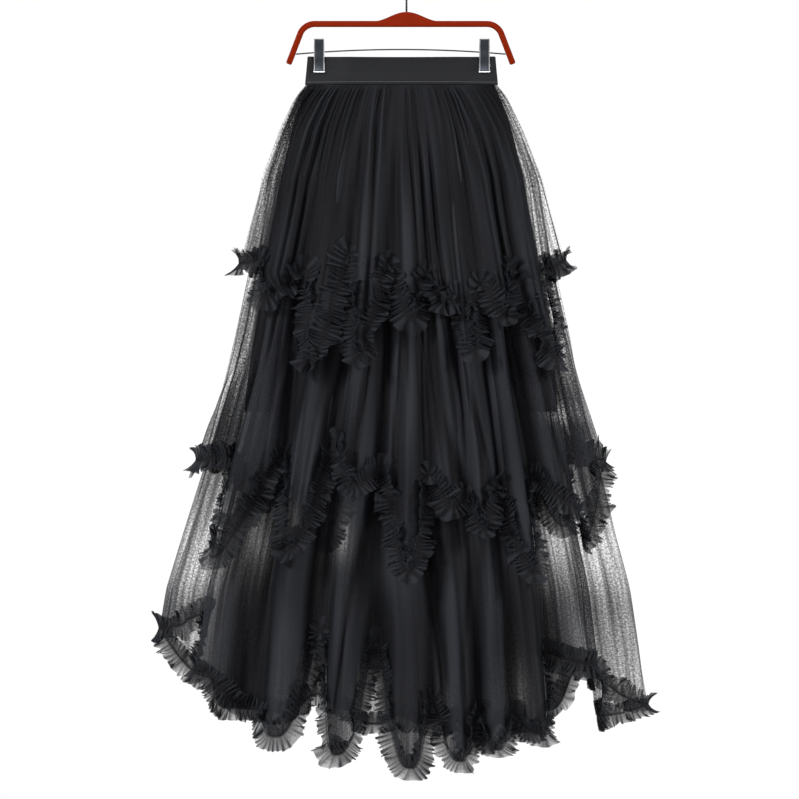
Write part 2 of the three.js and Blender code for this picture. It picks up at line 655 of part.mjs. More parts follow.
for (const [side, x] of Object.entries(CLIP_X)) {
  const wire = wireAt(x);
  const front = addMesh(`clip_${side}_front_jaw`, jawGeometry(wire.height), steel);
  front.position.x = x;
  const back = addMesh(`clip_${side}_back_jaw`, jawGeometry(wire.height), steel);
  back.rotation.z = Math.PI;
  back.position.x = x;
  const spring = addMesh(`clip_${side}_spring`, springGeometry(), steel);
  spring.position.set(x, 0, wire.height);
  spring.rotation.y = -wire.slope;
}

export default group;
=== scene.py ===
# %% [markdown]
# # A ruffled tulle skirt on a clip hanger
# The measured frame of the object comes first. It holds every piece at its real size, and each piece that
# is made here takes the place of the plain solid that it stands for. Everything is in metres once it is
# in Blender, but the cloth's own sizes are written in millimetres, as a maker would note them down.

# %% Load the measured frame
import math
import bmesh
import bpy
import numpy as np
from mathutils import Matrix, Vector


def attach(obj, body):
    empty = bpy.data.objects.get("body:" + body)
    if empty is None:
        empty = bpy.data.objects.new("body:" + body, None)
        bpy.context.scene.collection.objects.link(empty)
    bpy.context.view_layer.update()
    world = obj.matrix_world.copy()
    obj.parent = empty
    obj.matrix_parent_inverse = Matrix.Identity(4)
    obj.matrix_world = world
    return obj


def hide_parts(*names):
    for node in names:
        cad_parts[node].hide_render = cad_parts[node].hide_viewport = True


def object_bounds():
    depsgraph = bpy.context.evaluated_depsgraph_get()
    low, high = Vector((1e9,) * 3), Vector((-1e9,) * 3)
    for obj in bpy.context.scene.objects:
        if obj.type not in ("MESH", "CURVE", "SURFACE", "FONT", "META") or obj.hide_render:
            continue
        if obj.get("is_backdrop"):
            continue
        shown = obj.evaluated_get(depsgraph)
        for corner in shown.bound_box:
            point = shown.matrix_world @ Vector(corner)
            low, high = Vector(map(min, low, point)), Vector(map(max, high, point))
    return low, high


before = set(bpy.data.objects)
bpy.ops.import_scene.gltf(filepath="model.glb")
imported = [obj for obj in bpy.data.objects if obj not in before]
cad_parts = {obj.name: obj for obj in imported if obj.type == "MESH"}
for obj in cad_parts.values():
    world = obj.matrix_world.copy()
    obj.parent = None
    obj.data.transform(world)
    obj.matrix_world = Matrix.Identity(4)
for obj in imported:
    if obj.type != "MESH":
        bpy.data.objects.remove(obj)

CAD_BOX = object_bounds()
MM = 0.001
print("nodes in the frame:", len(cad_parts))

# %% [markdown]
# ## Colour and node helpers
# A colour is picked as a hex value, the way it looks on a screen, while the shader wants linear light.
# One function does that step. A second one adds a shader node: plain values are set on its sockets, and
# sockets are linked. The others start a material and colour it between two tones.

# %% Helpers for materials


def linear(hex_colour):
    """A screen colour such as #a8280f as linear RGBA."""
    channels = [int(hex_colour[i : i + 2], 16) / 255 for i in (1, 3, 5)]
    return tuple(c / 12.92 if c <= 0.04045 else ((c + 0.055) / 1.055) ** 2.4 for c in channels) + (1.0,)


def add_node(material, kind, inputs=None, **settings):
    """A new node with its settings. Each input is a value, or another node's output to link."""
    tree = material.node_tree
    node = tree.nodes.new(kind)
    for name, value in settings.items():
        setattr(node, name, value)
    for socket, value in (inputs or {}).items():
        if isinstance(value, bpy.types.NodeSocket):
            tree.links.new(value, node.inputs[socket])
        else:
            node.inputs[socket].default_value = value
    return node


def new_material(name, inputs):
    """A node material with its Principled shader, whose inputs are set, wired to the output."""
    material = bpy.data.materials.new(name)
    material.use_nodes = True
    material.node_tree.nodes.clear()
    shader = add_node(material, "ShaderNodeBsdfPrincipled", inputs)
    output = add_node(material, "ShaderNodeOutputMaterial")
    material.node_tree.links.new(shader.outputs[0], output.inputs[0])
    return material, shader


def link(material, source, shader, socket):
    material.node_tree.links.new(source, shader.inputs[socket])


def two_tones(material, shader, dark, light, noise_inputs):
    """Colours a material between two hex tones with a fine noise, which it returns."""
    noise = add_node(material, "ShaderNodeTexNoise", noise_inputs)
    blend = {0: noise.outputs[0], 6: linear(dark), 7: linear(light)}
    tone = add_node(material, "ShaderNodeMix", blend, data_type="RGBA")
    link(material, tone.outputs[2], shader, "Base Color")
    return noise


# %% [markdown]
# ## The camera
# The photograph looks straight at the front, from far enough away that the hem shows almost no
# perspective. A long lens does the same here. The picture is 799 pixels wide, and one pixel is 1.4 mm on
# the skirt.

# %% Camera
PICTURE_WIDTH_PX = 799
MM_PER_PIXEL = 1.4
LENS_MM = 250
SENSOR_MM = 36
VIEW_X = -9.8 * MM
VIEW_Z = -620.5 * MM
view_width = PICTURE_WIDTH_PX * MM_PER_PIXEL * MM
view_distance = view_width * LENS_MM / SENSOR_MM

camera_data = bpy.data.cameras.new("Camera")
camera_data.lens = LENS_MM
camera_data.sensor_width = SENSOR_MM
camera_data.clip_end = 100
camera = bpy.data.objects.new("Camera", camera_data)
camera.location = (VIEW_X, -view_distance, VIEW_Z)
camera.rotation_euler = (math.pi / 2, 0, 0)
bpy.context.collection.objects.link(camera)
bpy.context.scene.camera = camera
print("camera is", round(view_distance, 2), "m in front of the skirt")

# %% [markdown]
# ## The cut of the skirt
# Every layer is a tube that starts at the waist seam and widens downwards. Its section is a flattened
# ellipse, blunt at the waist where the clips hold it flat. These tables give the section's half width and
# half depth at some depths below the seam, in millimetres, and they are the same ones that the measured
# solids were made from.

# %% Sections of each layer


def named_rows(columns, *rows):
    """Rows of values as dictionaries. The columns' names are given once, in one string."""
    return [dict(zip(columns.split(), row)) for row in rows]


SEAM_Z = -180.6
BAND_TOP_Z = -140.3
SECTIONS = {
    "upper": named_rows(
        "below half_width half_depth",
        (0, 134.5, 17),
        (20, 148, 30),
        (60, 166.5, 49),
        (130, 189.5, 68),
        (245, 217, 89),
        (330, 241, 100),
        (430, 262, 118),
    ),
    "middle": named_rows(
        "below half_width half_depth",
        (0, 133, 15.5),
        (20, 145.8, 27.6),
        (60, 163, 45.5),
        (130, 186, 62.5),
        (245, 201, 79),
        (400, 231, 100),
        (530, 264, 122),
        (700, 304, 150),
    ),
    "lower": named_rows(
        "below half_width half_depth",
        (0, 131.5, 14),
        (20, 143.6, 25.2),
        (60, 159.5, 42),
        (130, 180.5, 57),
        (245, 194, 70),
        (400, 223, 90),
        (530, 254, 111),
        (704, 298, 137),
        (980, 335, 165),
    ),
    "lining": named_rows(
        "below half_width half_depth",
        (0, 130, 12.5),
        (20, 139.5, 18),
        (60, 153, 29),
        (130, 170, 40),
        (245, 186, 52),
        (400, 209, 68),
        (500, 216, 78),
    ),
}
FLAT_SQUARENESS = 5
FULL_SQUARENESS = 2.3
ROUNDED_OUT_BY = 200
LINING_LENGTH = 457
DEEPEST = 1000
MIDDLE_LINE = named_rows("below x", (0, -7), (351, -5), (704, -12))


def column_of(rows, column, at, key="below"):
    """A table's column at some values of its key column, on straight lines between the rows."""
    return np.interp(at, [row[key] for row in rows], [row[column] for row in rows])


def smooth(t):
    t = np.clip(t, 0, 1)
    return t * t * (3 - 2 * t)


def section_table(rows, levels=126, places=1536, deepest=DEEPEST):
    """Points and outward directions around the section at many depths, evenly spread along the cloth."""
    turn = np.linspace(0, 2 * math.pi, 2881)
    shares = np.linspace(0, 1, places + 1)
    table = np.zeros((levels, places + 1, 4))
    for level, below in enumerate(np.linspace(0, deepest, levels)):
        roundness = smooth(below / ROUNDED_OUT_BY)
        squareness = FLAT_SQUARENESS + (FULL_SQUARENESS - FLAT_SQUARENESS) * roundness
        c = np.cos(turn)
        x = -column_of(rows, "half_width", below) * np.sign(c) * np.abs(c) ** (2 / squareness)
        y = -column_of(rows, "half_depth", below) * np.sin(turn)
        walked = np.concatenate([[0], np.cumsum(np.hypot(np.diff(x), np.diff(y)))])
        walked /= walked[-1]
        px, py = np.interp(shares, walked, x), np.interp(shares, walked, y)
        near = 6
        ring_x, ring_y = px[:-1], py[:-1]
        along_x = np.roll(ring_x, -near) - np.roll(ring_x, near)
        along_y = np.roll(ring_y, -near) - np.roll(ring_y, near)
        size = np.hypot(along_x, along_y)
        out_x, out_y = along_y / size, -along_x / size
        table[level, :, 0], table[level, :, 1] = px, py
        table[level, :-1, 2], table[level, :-1, 3] = out_x, out_y
        table[level, -1, 2:] = table[level, 0, 2:]
    return table


TABLES = {layer: section_table(rows) for layer, rows in SECTIONS.items()}


def look_up(layer, share, below):
    """The section's points and outward directions at some shares around and depths below the seam."""
    table = TABLES[layer]
    row = np.clip(below / DEEPEST, 0, 1) * (table.shape[0] - 1)
    column = (share % 1.0) * (table.shape[1] - 1)
    r = np.minimum(row.astype(int), table.shape[0] - 2)
    c = np.minimum(column.astype(int), table.shape[1] - 2)
    fr, fc = (row - r)[..., None], (column - c)[..., None]
    top = table[r, c] * (1 - fc) + table[r, c + 1] * fc
    bottom = table[r + 1, c] * (1 - fc) + table[r + 1, c + 1] * fc
    return top * (1 - fr) + bottom * fr


print("sections ready for", ", ".join(SECTIONS))

# %% [markdown]
# ## Large folds and the pointed hems
# The skirt falls in seventeen deep flutes. A ridge stands out, and the valley after it lies back. Each
# row of the table gives both places, counted in 96ths of the way around from the left side over the
# front, with how far down the hem of each tier hangs there. The hems run in long points like the corners
# of a handkerchief. The lower hem's points are drawn wider and rounder than in the measured solids. The
# two longest are 12 mm shorter, because the ruffle hangs below them, and the one at the right side is
# about 2 cm longer.

# %% Flutes and hems
COLUMNS = 96
HEM_BLUNTNESS = (1, 1, 1.6)  # above 1 makes the points of a hem wider and rounder
WIDE_FLUTE = 7
FLUTES = named_rows(
    "ridge ridge_hems valley valley_hems",
    (0, (250, 525, 760), 4, (245, 518, 735)),
    (7, (300, 658, 815), 11, (262, 518, 868)),
    (14, (395, 650, 902), 17, (235, 497, 756)),
    (19, (385, 562, 926), 22, (248, 535, 775)),
    (25, (328, 679, 944), 27, (262, 540, 850)),
    (29, (310, 588, 935), 31, (300, 570, 870)),
    (32, (375, 620, 920), 34, (275, 553, 872)),
    (36, (326, 680, 900), 38, (255, 546, 790)),
    (41, (385, 585, 805), 44, (262, 640, 880)),
    (48, (245, 525, 866), 52, (258, 511, 830)),
    (56, (310, 620, 825), 58, (255, 545, 880)),
    (61, (380, 655, 915), 63, (290, 560, 900)),
    (65, (345, 600, 930), 67, (265, 540, 895)),
    (69, (395, 668, 905), 72, (255, 530, 890)),
    (74, (335, 610, 905), 77, (240, 515, 880)),
    (79, (385, 650, 862), 82, (250, 525, 885)),
    (86, (300, 590, 880), 91, (245, 530, 830)),
)
FLUTE_HEIGHTS = named_rows(
    "below flute",
    (0, 0),
    (20, 0.5),
    (60, 2),
    (130, 5),
    (245, 8.5),
    (980, 31),
)

fold_places, fold_outs, fold_hems = [], [], []
for number, flute in enumerate(FLUTES):
    next_ridge = FLUTES[number + 1]["ridge"] if number + 1 < len(FLUTES) else COLUMNS
    height = min(1, (next_ridge - flute["ridge"]) / WIDE_FLUTE)
    fold_places += [flute["ridge"], flute["valley"]]
    fold_outs += [height, -height]
    fold_hems += [flute["ridge_hems"], flute["valley_hems"]]
fold_places = np.array(fold_places + [COLUMNS])
fold_outs = np.array(fold_outs + fold_outs[:1])
fold_hems = np.array(fold_hems + fold_hems[:1], dtype=float)


def between_folds(share):
    """The fold line before each place, and the smooth share of the way to the next one."""
    column = (share % 1.0) * COLUMNS
    before = np.clip(np.searchsorted(fold_places, column, side="right") - 1, 0, len(fold_places) - 2)
    t = (column - fold_places[before]) / (fold_places[before + 1] - fold_places[before])
    return before, smooth(t)


def flute_at(share):
    before, t = between_folds(share)
    return fold_outs[before] * (1 - t) + fold_outs[before + 1] * t


def hem_at(share, tier):
    before, t = between_folds(share)
    from_low_end = fold_hems[before, tier] >= fold_hems[before + 1, tier]
    from_point = np.where(from_low_end, t, 1 - t) ** HEM_BLUNTNESS[tier]
    t = np.where(from_low_end, from_point, 1 - from_point)
    return fold_hems[before, tier] * (1 - t) + fold_hems[before + 1, tier] * t


print("flutes:", len(FLUTES))

# %% [markdown]
# ## Fine gathers
# Tulle is gathered several times fuller than the band it is sewn to. Close to the band that makes a
# row of small sharp gathers. Further down they run together into fewer and wider folds. Each family of
# folds below is a wave around the skirt that fades in and out with depth, and slow noise pushes it
# sideways, so no two folds are alike. The noise is a sum of waves that each go a whole number of times
# around the skirt, so that it closes on itself, and its seed makes it the same in each run.

# %% Fine folds
FOLD_FAMILIES = named_rows(
    "folds height from full fading gone wander",
    (54, 3.0, 0, 10, 60, 210, 2.4),
    (113, 0.5, 0, 8, 45, 120, 2.4),
    (37, 3.6, 30, 150, 450, 720, 2.6),
    (71, 1.5, 160, 300, 1200, 1400, 4.0),
    (28, 4.4, 240, 460, 1200, 1400, 2.4),
)
LEAN = 0.7  # of a fold to one side, so that it laps over its neighbour
# These set the painted light on the fold ridges and the painted shade in the fold valleys. The smoky noise
# varies it at random.
RIDGE_SPREAD_MM = 10
RIDGE_CONTRAST = 2.0
FLUTE_IN_RIDGE = 0.22  # of a flute's height counts, so that the fine folds show beside it
SMOKY_MEAN, SMOKY_SWING = 0.85, 0.28


def slow_noise(share, below, seed, around=9, down=6.0, count=9):
    """Smooth noise of about unit size on the cloth. down is in waves per metre."""
    rng = np.random.default_rng(seed)
    value = np.zeros(np.broadcast(share, below).shape)
    for _ in range(count):
        turns = rng.integers(1, around + 1)
        fall = rng.uniform(-down, down)
        phase = rng.uniform(0, 2 * math.pi)
        value += np.cos(2 * math.pi * (turns * share + fall * below * MM) + phase)
    return value / math.sqrt(count / 2)


def fine_folds(share, below, seed):
    """How far the small folds stand out, in mm."""
    height = np.zeros(np.broadcast(share, below).shape)
    for number, family in enumerate(FOLD_FAMILIES):
        fade_in = smooth((below - family["from"]) / (family["full"] - family["from"]))
        fade_out = 1 - smooth((below - family["fading"]) / (family["gone"] - family["fading"]))
        wander = slow_noise(share, below, seed * 31 + number, around=11, down=1.2)
        strength = 0.75 + 0.35 * slow_noise(share, below, seed * 57 + number, around=21, down=2.5)
        phase = 2 * math.pi * family["folds"] * share + family["wander"] * wander
        crest = np.cos(phase + LEAN * np.sin(phase + number))
        height += family["height"] * fade_in * fade_out * np.clip(strength, 0.1, 1.6) * crest
    return height


def painted_ridge_light_at(share, below, seed):
    """0 deep in a fold and 1 on its ridge: painted shade in the valleys and painted light on the ridges,
    with random smoky blotches.
    """
    flute = flute_at(share) * column_of(FLUTE_HEIGHTS, "flute", below)
    height = np.clip(0.5 + (FLUTE_IN_RIDGE * flute + fine_folds(share, below, seed)) / RIDGE_SPREAD_MM, 0, 1)
    smoky = SMOKY_MEAN + SMOKY_SWING * slow_noise(share, below, seed + 700, around=18, down=5.0, count=14)
    return height**RIDGE_CONTRAST * np.clip(smoky, 0.2, 1.3)


def cloth_points(layer, share, below, seed, foldiness=1.0, fine=1.0):
    """Points on a layer of cloth, in mm, and the outward direction of its section there."""
    found = look_up(layer, share, below)
    flute = flute_at(share) * column_of(FLUTE_HEIGHTS, "flute", below)
    out = foldiness * flute + fine * fine_folds(share, below, seed)
    x = found[..., 0] + found[..., 2] * out + column_of(MIDDLE_LINE, "x", below)
    y = found[..., 1] + found[..., 3] * out
    return np.stack([x, y, SEAM_Z - below], axis=-1), found[..., 2:]


# %% [markdown]
# ## From a grid of points to a mesh
# Each cloth panel is a grid of points. The mesh is made in one go from arrays, which is much quicker than
# adding vertices one by one. It gets a UV map in metres, which follows the threads of the cloth, and
# attributes for the material: how dense the gathered net is in each place, and where light is painted on
# the fold ridges and shade in the fold valleys.

# %% Mesh from a grid


def grid_object(name, points, uv, attributes, ring=False):
    """An object from a grid of points in mm. The last column of a ring is joined to its first."""
    rows, columns = points.shape[:2]
    index = np.arange(rows * columns).reshape(rows, columns)
    if ring:
        index = np.concatenate([index, index[:, :1]], axis=1)
    corners = [index[:-1, :-1], index[1:, :-1], index[1:, 1:], index[:-1, 1:]]
    faces = np.stack(corners, axis=-1).reshape(-1, 4)
    mesh = bpy.data.meshes.new(name)
    mesh.vertices.add(rows * columns)
    mesh.vertices.foreach_set("co", (points * MM).reshape(-1))
    mesh.loops.add(faces.size)
    mesh.loops.foreach_set("vertex_index", faces.reshape(-1))
    mesh.polygons.add(len(faces))
    mesh.polygons.foreach_set("loop_start", np.arange(0, faces.size, 4))
    mesh.update(calc_edges=True)
    layer = mesh.uv_layers.new(name="Cloth")
    corner_uv = np.stack([uv[:-1, :-1], uv[1:, :-1], uv[1:, 1:], uv[:-1, 1:]], axis=-2)
    layer.data.foreach_set("uv", corner_uv.reshape(-1))
    for attribute, values in attributes.items():
        stored = mesh.attributes.new(attribute, "FLOAT", "POINT")
        stored.data.foreach_set("value", np.ascontiguousarray(values, dtype=np.float32).reshape(-1))
    mesh.validate()
    mesh.shade_smooth()
    piece = bpy.data.objects.new(name, mesh)
    bpy.context.collection.objects.link(piece)
    return piece


def panel_uv(points):
    """UV in metres: the mean distance along the rows, and the distance down each column."""
    along = np.linalg.norm(np.diff(points, axis=1), axis=-1).mean(axis=0)
    down = np.linalg.norm(np.diff(points, axis=0), axis=-1)
    u = np.concatenate([[0], np.cumsum(along)])
    v = np.concatenate([np.zeros((1, points.shape[1])), np.cumsum(down, axis=0)])
    return np.stack([np.broadcast_to(u, v.shape), -v], axis=-1) * MM


# %% [markdown]
# ## Black tulle
# Tulle is a hexagonal net of fine polyester yarn. One layer lets most of the light through. Gathered, it
# lies in many layers and turns almost black. The material mixes the net with clear gaps through its
# alpha: a "cover" attribute says how much of the view the gathered net blocks in each place. What is left
# open is broken up by streaks that run down along the folds, and by a fine grain. The real net has holes
# of about 1.2 mm, finer than a pixel here, so the grain is drawn about 2.5 mm wide, as the shimmer that
# two nets make on each other.

# %% Tulle material
GRAIN_PER_M = 400
STREAKS_PER_M = 100
STREAK_RUN_PER_M = 2.2


def tulle_material(name, deep, lit, streak_range, grain_range, sheen):
    surface = {
        "Roughness": 0.7,
        "Specular IOR Level": 0.12,
        "Sheen Weight": sheen,
        "Sheen Roughness": 0.5,
        "Sheen Tint": linear("#9fb0cc"),
    }
    material, shader = new_material(name, surface)
    uv = add_node(material, "ShaderNodeUVMap", uv_map="Cloth").outputs[0]
    cover = add_node(material, "ShaderNodeAttribute", attribute_name="cover").outputs["Fac"]
    per_metre = {0: uv, 1: (STREAKS_PER_M, STREAK_RUN_PER_M, 1.0)}
    drawn_out = add_node(material, "ShaderNodeVectorMath", per_metre, operation="MULTIPLY")
    run = {"Vector": drawn_out.outputs[0], "Scale": 1.0, "Detail": 3.0, "Roughness": 0.65}
    lines = add_node(material, "ShaderNodeTexNoise", run)
    fine = {"Vector": uv, "Scale": float(GRAIN_PER_M), "Detail": 1.0, "Roughness": 0.5}
    grains = add_node(material, "ShaderNodeTexNoise", fine)
    gap = add_node(material, "ShaderNodeMath", {0: 1.0, 1: cover}, operation="SUBTRACT")
    for noise, low, high, spread in ((lines, 0.36, 0.64, streak_range), (grains, 0.4, 0.6, grain_range)):
        stretch = {0: noise.outputs[0], 1: low, 2: high, 3: spread[0], 4: spread[1]}
        factor = add_node(material, "ShaderNodeMapRange", stretch)
        both = {0: gap.outputs[0], 1: factor.outputs[0]}
        gap = add_node(material, "ShaderNodeMath", both, operation="MULTIPLY")
    closed = {0: 1.0, 1: gap.outputs[0]}
    alpha = add_node(material, "ShaderNodeMath", closed, operation="SUBTRACT", use_clamp=True)
    # The ridge attribute paints shade into the fold valleys and light onto the fold ridges, mixing the base
    # colour from the dark tone to the lit one.
    ridge = add_node(material, "ShaderNodeAttribute", attribute_name="ridge").outputs["Fac"]
    uneven = add_node(material, "ShaderNodeMapRange", {0: lines.outputs[0], 1: 0.3, 2: 0.7, 3: -0.1, 4: 0.1})
    lifted = {0: ridge, 1: uneven.outputs[0]}
    tone = add_node(material, "ShaderNodeMath", lifted, operation="ADD", use_clamp=True)
    blend = {0: tone.outputs[0], 6: linear(deep), 7: linear(lit)}
    colour = add_node(material, "ShaderNodeMix", blend, data_type="RGBA")
    relief = {"Height": lines.outputs[0], "Strength": 0.3, "Distance": 0.0015}
    bump = add_node(material, "ShaderNodeBump", relief)
    link(material, colour.outputs[2], shader, "Base Color")
    link(material, alpha.outputs[0], shader, "Alpha")
    link(material, bump.outputs[0], shader, "Normal")
    return material


# Each tulle's two tones are painted shade, in folds and between pleats, and painted light, on ridges and
# pleat crests.
tulle = tulle_material("Black tulle in gathered layers", "#0c0c0f", "#292a2f", (0.35, 1.5), (0.7, 1.3), 0.03)
ruffle_tulle = tulle_material(
    "Black tulle pleated in a ruffle", "#121215", "#26272c", (0.6, 1.4), (0.85, 1.15), 0.04
)

# %% [markdown]
# ## Tiers
# Each tier has a front and a back panel. Its grid follows the hem, so that the points of the handkerchief
# hem are cut cleanly. The gathered body of the cloth is nearly opaque. Towards the two sides, and in a
# band above the hem, it lies in fewer layers, and the white ground shines through.

# %% Tier panels
TIERS = named_rows(
    "name title hem rows seed body hem_cover",
    ("upper", "Upper tier", 0, 46, 3, 0.97, 0.95),
    ("middle", "Middle tier", 1, 58, 5, 0.97, 0.9),
    ("lower", "Lower tier", 2, 70, 8, 0.97, 0.93),
)
TIER_PLACES = 960
SLANT = 1.03  # the cloth hangs at a slant, so it is a little longer than its drop
SIDE_PROFILE = named_rows(
    "from_side cover",
    (0, 0.36),
    (0.02, 0.38),
    (0.045, 0.46),
    (0.07, 0.66),
    (0.095, 0.88),
    (0.13, 1),
)
HEM_FADE_MM = 55
WAIST_COVER = 0.25  # what the gathers at the seam add
WAIST_FADE_MM = 30
SIDE_WOBBLE = 0.012
PATCHINESS = 0.03
SHEERNESS = named_rows(
    "below left right",
    (0, 1.1, 1.46),
    (100, 1.25, 1.5),
    (250, 1.05, 1.32),
    (400, 1.0, 0.95),
    (480, 0.65, 0.55),
    (560, 0.65, 0.75),
    (640, 1.0, 1.15),
    (690, 0.95, 1.0),
    (730, 0.55, 0.7),
    (830, 0.4, 0.95),
)
THIN_PLACES = named_rows(
    "x below wide high open",
    (208, 634, 24, 50, 0.27),
    (268, 655, 20, 40, 0.16),
    (-86, 625, 14, 45, 0.4),
    (-160, 606, 16, 40, 0.34),
    (-205, 640, 14, 36, 0.16),
    (-131, 848, 16, 45, 0.26),
    (-56, 885, 26, 60, 0.25),
    (60, 862, 12, 40, 0.12),
    (118, 862, 13, 45, 0.1),
    (160, 848, 14, 40, 0.08),
    (212, 462, 30, 16, 0.3),
)


def side_share(share):
    """How far a place is from the nearest side seam, as a share of the way around."""
    s = share % 0.5
    return np.minimum(s, 0.5 - s)


def cover_at(tier, share, below, hem, points):
    """How much of the view the gathered net blocks."""
    seed = tier["seed"]
    wobble = SIDE_WOBBLE * slow_noise(share, below, seed + 400, around=14, down=2.0)
    side = column_of(SIDE_PROFILE, "cover", side_share(share) + wobble, key="from_side")
    left = 0.5 + 0.5 * np.cos(2 * math.pi * share)
    sheer = left * column_of(SHEERNESS, "left", below) + (1 - left) * column_of(SHEERNESS, "right", below)
    side = 1 - (1 - side) * sheer
    patches = PATCHINESS * slow_noise(share, below, seed + 500, around=26, down=3.0, count=14)
    near_hem = np.exp(-np.maximum(hem - below, 0) / HEM_FADE_MM)
    body = tier["body"] + (tier["hem_cover"] - tier["body"]) * near_hem + patches
    cover = side * body + WAIST_COVER * np.exp(-below / WAIST_FADE_MM)
    for place in THIN_PLACES:
        across = (points[..., 0] - place["x"]) / place["wide"]
        down = (below - place["below"]) / place["high"]
        cover = cover - place["open"] * np.exp(-(across**2) - down**2)
    return np.clip(cover, 0.1, 0.99)


def tier_grid(tier):
    share = np.linspace(0, 1, TIER_PLACES + 1)[None, :]
    down = np.linspace(0, 1, tier["rows"])[:, None] ** 1.05
    hem = hem_at(share, tier["hem"])
    follow = smooth((down - 0.15) / 0.85)
    below = down * (hem.min() * (1 - follow) + hem * follow)
    points, _ = cloth_points(tier["name"], share, below, tier["seed"])
    cover = cover_at(tier, share, below, hem, points)
    # ridge carries the painted light on the fold ridges and the painted shade in the folds.
    return points, {"cover": cover, "ridge": painted_ridge_light_at(share, below, tier["seed"])}


def panel_columns(places):
    """The columns of the front and of the back panel, which share their side seams."""
    half = places // 2
    return {"front": slice(0, half + 1), "back": slice(half, 2 * half + 1)}


def object_name(*words):
    return "_".join(" ".join(words).split())


for tier in TIERS:
    points, attributes = tier_grid(tier)
    for side, places in panel_columns(TIER_PLACES).items():
        panel = points[:, places]
        name = object_name(tier["title"], side)
        panel_attributes = {key: values[:, places] for key, values in attributes.items()}
        piece = grid_object(name, panel, panel_uv(panel), panel_attributes)
        piece.data.materials.append(tulle)
        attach(piece, "root")
        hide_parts(f"tier_{tier['name']}_{side}")
        length = float(np.abs(panel[-1, :, 2] - panel[0, :, 2]).max()) * MM * SLANT

# %% [markdown]
# ## Ruffles
# A ruffle is a strip of tulle gathered along its middle line and stitched to the hem there, so each half
# stands up as a row of fine pleats. The strip follows the hem all the way round. It is built across the
# hem line: at each place the pleats swing in and out, more towards the free edges, and slow noise makes
# some stretches stand up and others droop.

# %% Ruffle strips
WING_MM = 21
PLEAT_MM = 5.4
SAMPLES_PER_PLEAT = 6
ACROSS = np.array([-1, -0.86, -0.62, -0.36, -0.14, 0, 0.14, 0.36, 0.62, 0.86, 1])
PLEAT_SWING_MM = 2.3
RAGGED = {"upper": 0.13, "middle": 0.12, "lower": 0.05}
RUFFLE_LIFT_MM = 6
STITCH_OFF_MM = 1.6
RUFFLE_COVER = {"stitch": 0.99, "middle": 0.86, "edge": 0.57, "pleat": 0.4}
SIDE_CLUMP = 0.035
ABOVE_HEM_MM = 6  # where a second line is walked, to tell which way the cloth hangs
SMOOTHED_OVER = 25


def smoothed(values, window):
    """A ring of vectors averaged over a window of neighbours."""
    kernel = np.hanning(window + 2)[1:-1]
    kernel /= kernel.sum()
    pad = window // 2
    wrapped = np.concatenate([values[-pad:], values, values[:pad]])
    columns = [np.convolve(wrapped[:, i], kernel, mode="valid") for i in range(values.shape[1])]
    return np.stack(columns, axis=1)


def walked_along(points):
    """How far along a line each of its points lies."""
    return np.concatenate([[0], np.cumsum(np.linalg.norm(np.diff(points, axis=0), axis=1))])


def unit(vectors):
    return vectors / np.linalg.norm(vectors, axis=-1, keepdims=True)


def hem_path(tier, count=9600):
    """The stitch line around a hem, walked evenly, with the ways out of the cloth and across the hem."""
    share = np.arange(count) / count
    below = hem_at(share, tier["hem"])
    line, _ = cloth_points(tier["name"], share, below, tier["seed"])
    above, _ = cloth_points(tier["name"], share, below - ABOVE_HEM_MM, tier["seed"])
    closed = np.concatenate([line, line[:1]])
    walked = walked_along(closed)
    length = walked[-1]
    pleats = int(round(length / PLEAT_MM))
    places = pleats * SAMPLES_PER_PLEAT
    at = np.interp(np.arange(places) / places * length, walked, np.append(share, 1.0))
    column = at * count
    i = column.astype(int) % count
    f = (column - column.astype(int))[:, None]
    point = line[i] * (1 - f) + line[(i + 1) % count] * f
    down = unit(smoothed((line - above)[i], SMOOTHED_OVER))
    along = unit(smoothed(np.roll(point, -1, axis=0) - np.roll(point, 1, axis=0), SMOOTHED_OVER))
    outward = unit(np.cross(down, along))
    across = unit(np.cross(along, outward))
    return point, outward, across, along, at, length, pleats


